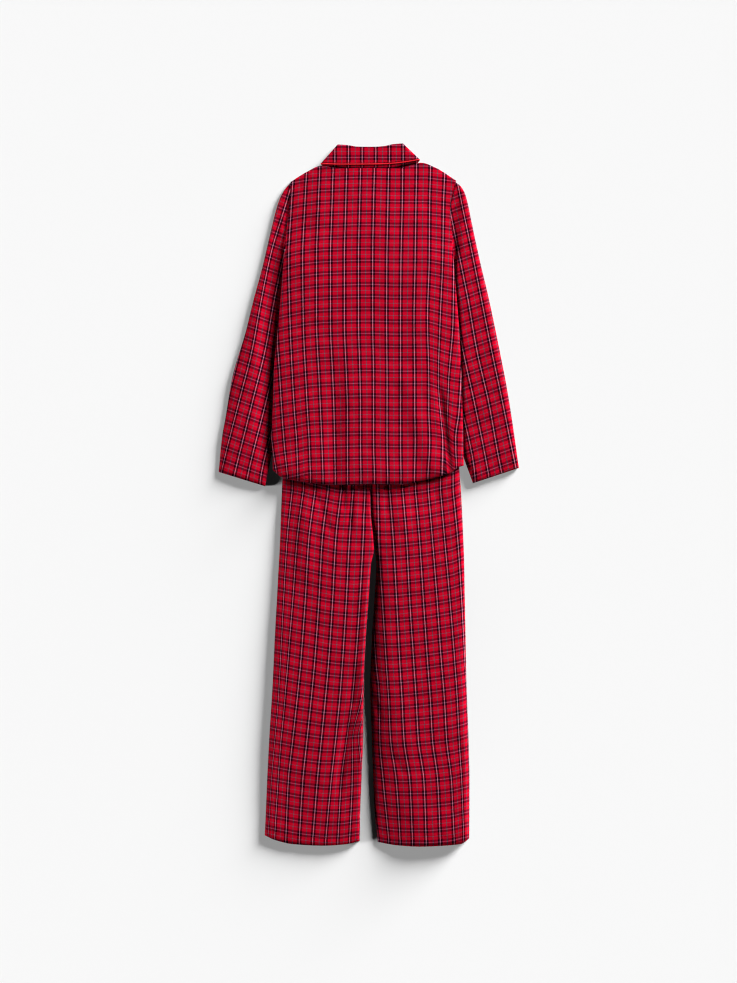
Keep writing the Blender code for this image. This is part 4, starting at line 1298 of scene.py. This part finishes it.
def stitch_row(shape, points):
    """Add stitches along a line of surface points."""
    steps = np.linalg.norm(np.diff(points, axis=0), axis=1)
    run = np.concatenate(([0.0], np.cumsum(steps)))
    starts = np.arange(STITCH_SPACE, run[-1] - STITCH, STITCH + STITCH_SPACE)
    first = np.stack([np.interp(starts, run, axis) for axis in points.T], axis=1)
    last = np.stack([np.interp(starts + STITCH, run, axis) for axis in points.T], axis=1)
    for a, b in zip(first, last):
        start, end = Vector(a), Vector(b)
        centre = (start + end) / 2
        turned = (end - start).to_track_quat("Z", "Y").to_matrix().to_4x4()
        thin = THREAD_RADIUS * STITCH_END
        made = bmesh.ops.create_cone(shape, cap_ends=True, segments=6, radius1=thin, radius2=thin,
                                     depth=(end - start).length,
                                     matrix=Matrix.Translation(centre) @ turned)["verts"]
        parts = made + list({edge for vertex in made for edge in vertex.link_edges})
        parts += list({face for vertex in made for face in vertex.link_faces})
        cut = bmesh.ops.bisect_plane(shape, geom=parts, plane_co=centre, plane_no=end - start)["geom_cut"]
        ring = [part for part in cut if isinstance(part, bmesh.types.BMVert)]
        swell = Matrix.Translation(centre) @ Matrix.Scale(STITCH_SWELL, 4) @ Matrix.Translation(-centre)
        bmesh.ops.transform(shape, matrix=swell, verts=ring)


def stitched(name, points):
    """One row of stitches, as a mesh of its own."""
    shape = bmesh.new()
    stitch_row(shape, points)
    mesh = bpy.data.meshes.new(name)
    shape.to_mesh(mesh)
    shape.free()
    mesh.shade_smooth()
    trim(name, mesh, red_thread, "checked_cotton")


def on_surface(place, columns, row, lift):
    """Surface points of a panel along one of its rows."""
    rows = np.repeat(np.array(row)[:, None], len(columns), axis=1)
    x, y, z = place(columns.T, rows)
    return np.stack((x, y, z + lift), axis=1)


EVEN = np.linspace(0.012, 0.988, 160)
EVEN_COLUMNS = rows_of(EVEN)
EVEN_OVER = np.column_stack((EVEN, np.zeros(len(EVEN)), np.ones(len(EVEN))))
SUNK = 0.00008
hem_row = (0.0, HEM_LINE)
stitched("shirt_hem_stitches", on_surface(back_place, EVEN_COLUMNS, hem_row, SUNK))
for side in ("left", "right"):
    stitched("trouser_hem_stitches_" + side, on_surface(leg_back_place(side), EVEN_COLUMNS, hem_row, SUNK))
    cuff_row = (1 - HEM_LINE / SLEEVE_LENGTH,)
    stitched("cuff_stitches_" + side, on_surface(sleeve_place(side), EVEN_OVER, cuff_row, SUNK))
COLLAR_ROW = (0.93,)
stitched("collar_stitches", on_surface(fall_place, EVEN_OVER, COLLAR_ROW, SUNK))

# %% [markdown]
# ## The surface, the light and the camera
# The set lies on a pale floor under one large soft lamp, low at the upper right, and a weak one
# opposite. Cloth is soft, so only a low light shows its folds. A real studio lamp reaches round the
# object more than one Blender lamp does, so the floor and the cloth get lamps of their own, at the
# same angle. Light linking does this: a lamp is given the collection of what it may light.

# %% The floor
FLOOR_SIZE = 30.0
FLOOR_UNDER = 0.0004        # a hair under the set, so that the two don't share a face
bpy.ops.mesh.primitive_plane_add(size=FLOOR_SIZE, location=(0.0, 0.0, -FLOOR_UNDER))
floor = bpy.context.object
floor.name = "floor"
pale_floor, *_ = new_finish("pale_floor", {
    "Base Color": (0.90, 0.90, 0.90, 1.0), "Roughness": 1.0, "Specular IOR Level": 0.0})
floor.data.materials.append(pale_floor)
print("the floor lies", FLOOR_UNDER * 1000, "mm under the set")

# %% The light
Lamp = namedtuple("Lamp", "elevation azimuth spread")
FLOOR_KEY = Lamp(11, 45, 22)        # degrees; the azimuth runs from the collar to the right sleeve
FLOOR_FILL = Lamp(9, -95, 12)
CLOTH_KEY = Lamp(18, 45, 29)
CLOTH_FILL = Lamp(6, -100, 11)
CLOTH_KEY_DISTANCE = 14.0
CLOTH_KEY_POWER = 5120.0
FLOOR_KEY_STRENGTH = 11.9
FLOOR_FILL_STRENGTH = 6.4
CLOTH_FILL_STRENGTH = 2.0
WORLD_LIGHT = 0.008
BACKDROP = 0.90


def lit(name, floor_state):
    """A collection for light linking that takes in the floor alone, or all but the floor."""
    group = bpy.data.collections.new(name)
    group.objects.link(floor)
    group.collection_objects[0].light_linking.link_state = floor_state
    return group


def lamp(name, kind, energy, placed, lights):
    """A far lamp that lights only what its collection takes in."""
    data = bpy.data.lights.new(name, kind)
    data.energy = energy
    light = bpy.data.objects.new(name, data)
    turned = (90 - placed.elevation, 0, 180 - placed.azimuth)
    light.rotation_euler = [math.radians(angle) for angle in turned]
    if kind == "SUN":
        data.angle = math.radians(placed.spread)
    light.light_linking.receiver_collection = lights
    light.visible_camera = False
    bpy.context.scene.collection.objects.link(light)
    return light


def shaded_by(name, *pieces):
    """A collection of the only pieces that throw a shadow in a lamp's light."""
    group = bpy.data.collections.new(name)
    for piece in pieces:
        group.objects.link(piece)
    return group


floor_alone = lit("the floor alone", "INCLUDE")
all_but_floor = lit("all but the floor", "EXCLUDE")
lamp("floor_key", "SUN", FLOOR_KEY_STRENGTH, FLOOR_KEY, floor_alone)
floor_fill = lamp("floor_fill", "SUN", FLOOR_FILL_STRENGTH, FLOOR_FILL, floor_alone)
floor_fill.light_linking.blocker_collection = shaded_by(
    "left side", bpy.data.objects["trouser_back_left_cloth"], sleeves["left"])
lamp("cloth_fill", "SUN", CLOTH_FILL_STRENGTH, CLOTH_FILL, all_but_floor)
cloth_key = lamp("cloth_key", "AREA", CLOTH_KEY_POWER, CLOTH_KEY, all_but_floor)
cloth_key.data.shape = "DISK"
cloth_key.data.size = 2 * CLOTH_KEY_DISTANCE * math.tan(math.radians(CLOTH_KEY.spread) / 2)
cloth_key.location = Euler(cloth_key.rotation_euler).to_matrix() @ Vector((0, 0, CLOTH_KEY_DISTANCE))

# Light that bounces between the red folds is left out, so that the gaps between them stay dark.
for piece in bpy.context.scene.objects:
    if piece.type == "MESH" and piece != floor:
        piece.visible_diffuse = False

world = bpy.data.worlds.new("studio")
world.use_nodes = True
background = world.node_tree.nodes["Background"]
background.inputs["Color"].default_value = (1.0, 1.0, 1.0, 1.0)
seen = put(world.node_tree, "ShaderNodeLightPath").outputs["Is Camera Ray"]
world_strength = maths(world.node_tree, "MULTIPLY_ADD", seen, BACKDROP - WORLD_LIGHT, WORLD_LIGHT)
feed(world.node_tree, background.inputs["Strength"], world_strength)
bpy.context.scene.world = world
bpy.context.scene.view_settings.view_transform = "Standard"
bpy.context.scene.cycles.filter_width = 1.2

# %% The camera, straight above
CAMERA_HEIGHT = 8.0
PLANE = 0.010               # height at which a pixel measures PIXEL
PIXEL = 0.0023
IMAGE_HEIGHT = 983
SENSOR = 24.0
camera_data = bpy.data.cameras.new("camera")
camera_data.sensor_fit = "VERTICAL"
camera_data.sensor_height = SENSOR
camera_data.lens = SENSOR * (CAMERA_HEIGHT - PLANE) / (IMAGE_HEIGHT * PIXEL)
camera = bpy.data.objects.new("camera", camera_data)
camera.location = (-0.0006, 0.0076, CAMERA_HEIGHT)
bpy.context.scene.collection.objects.link(camera)
bpy.context.scene.camera = camera
print("the camera's lens is", round(camera_data.lens, 2), "mm")
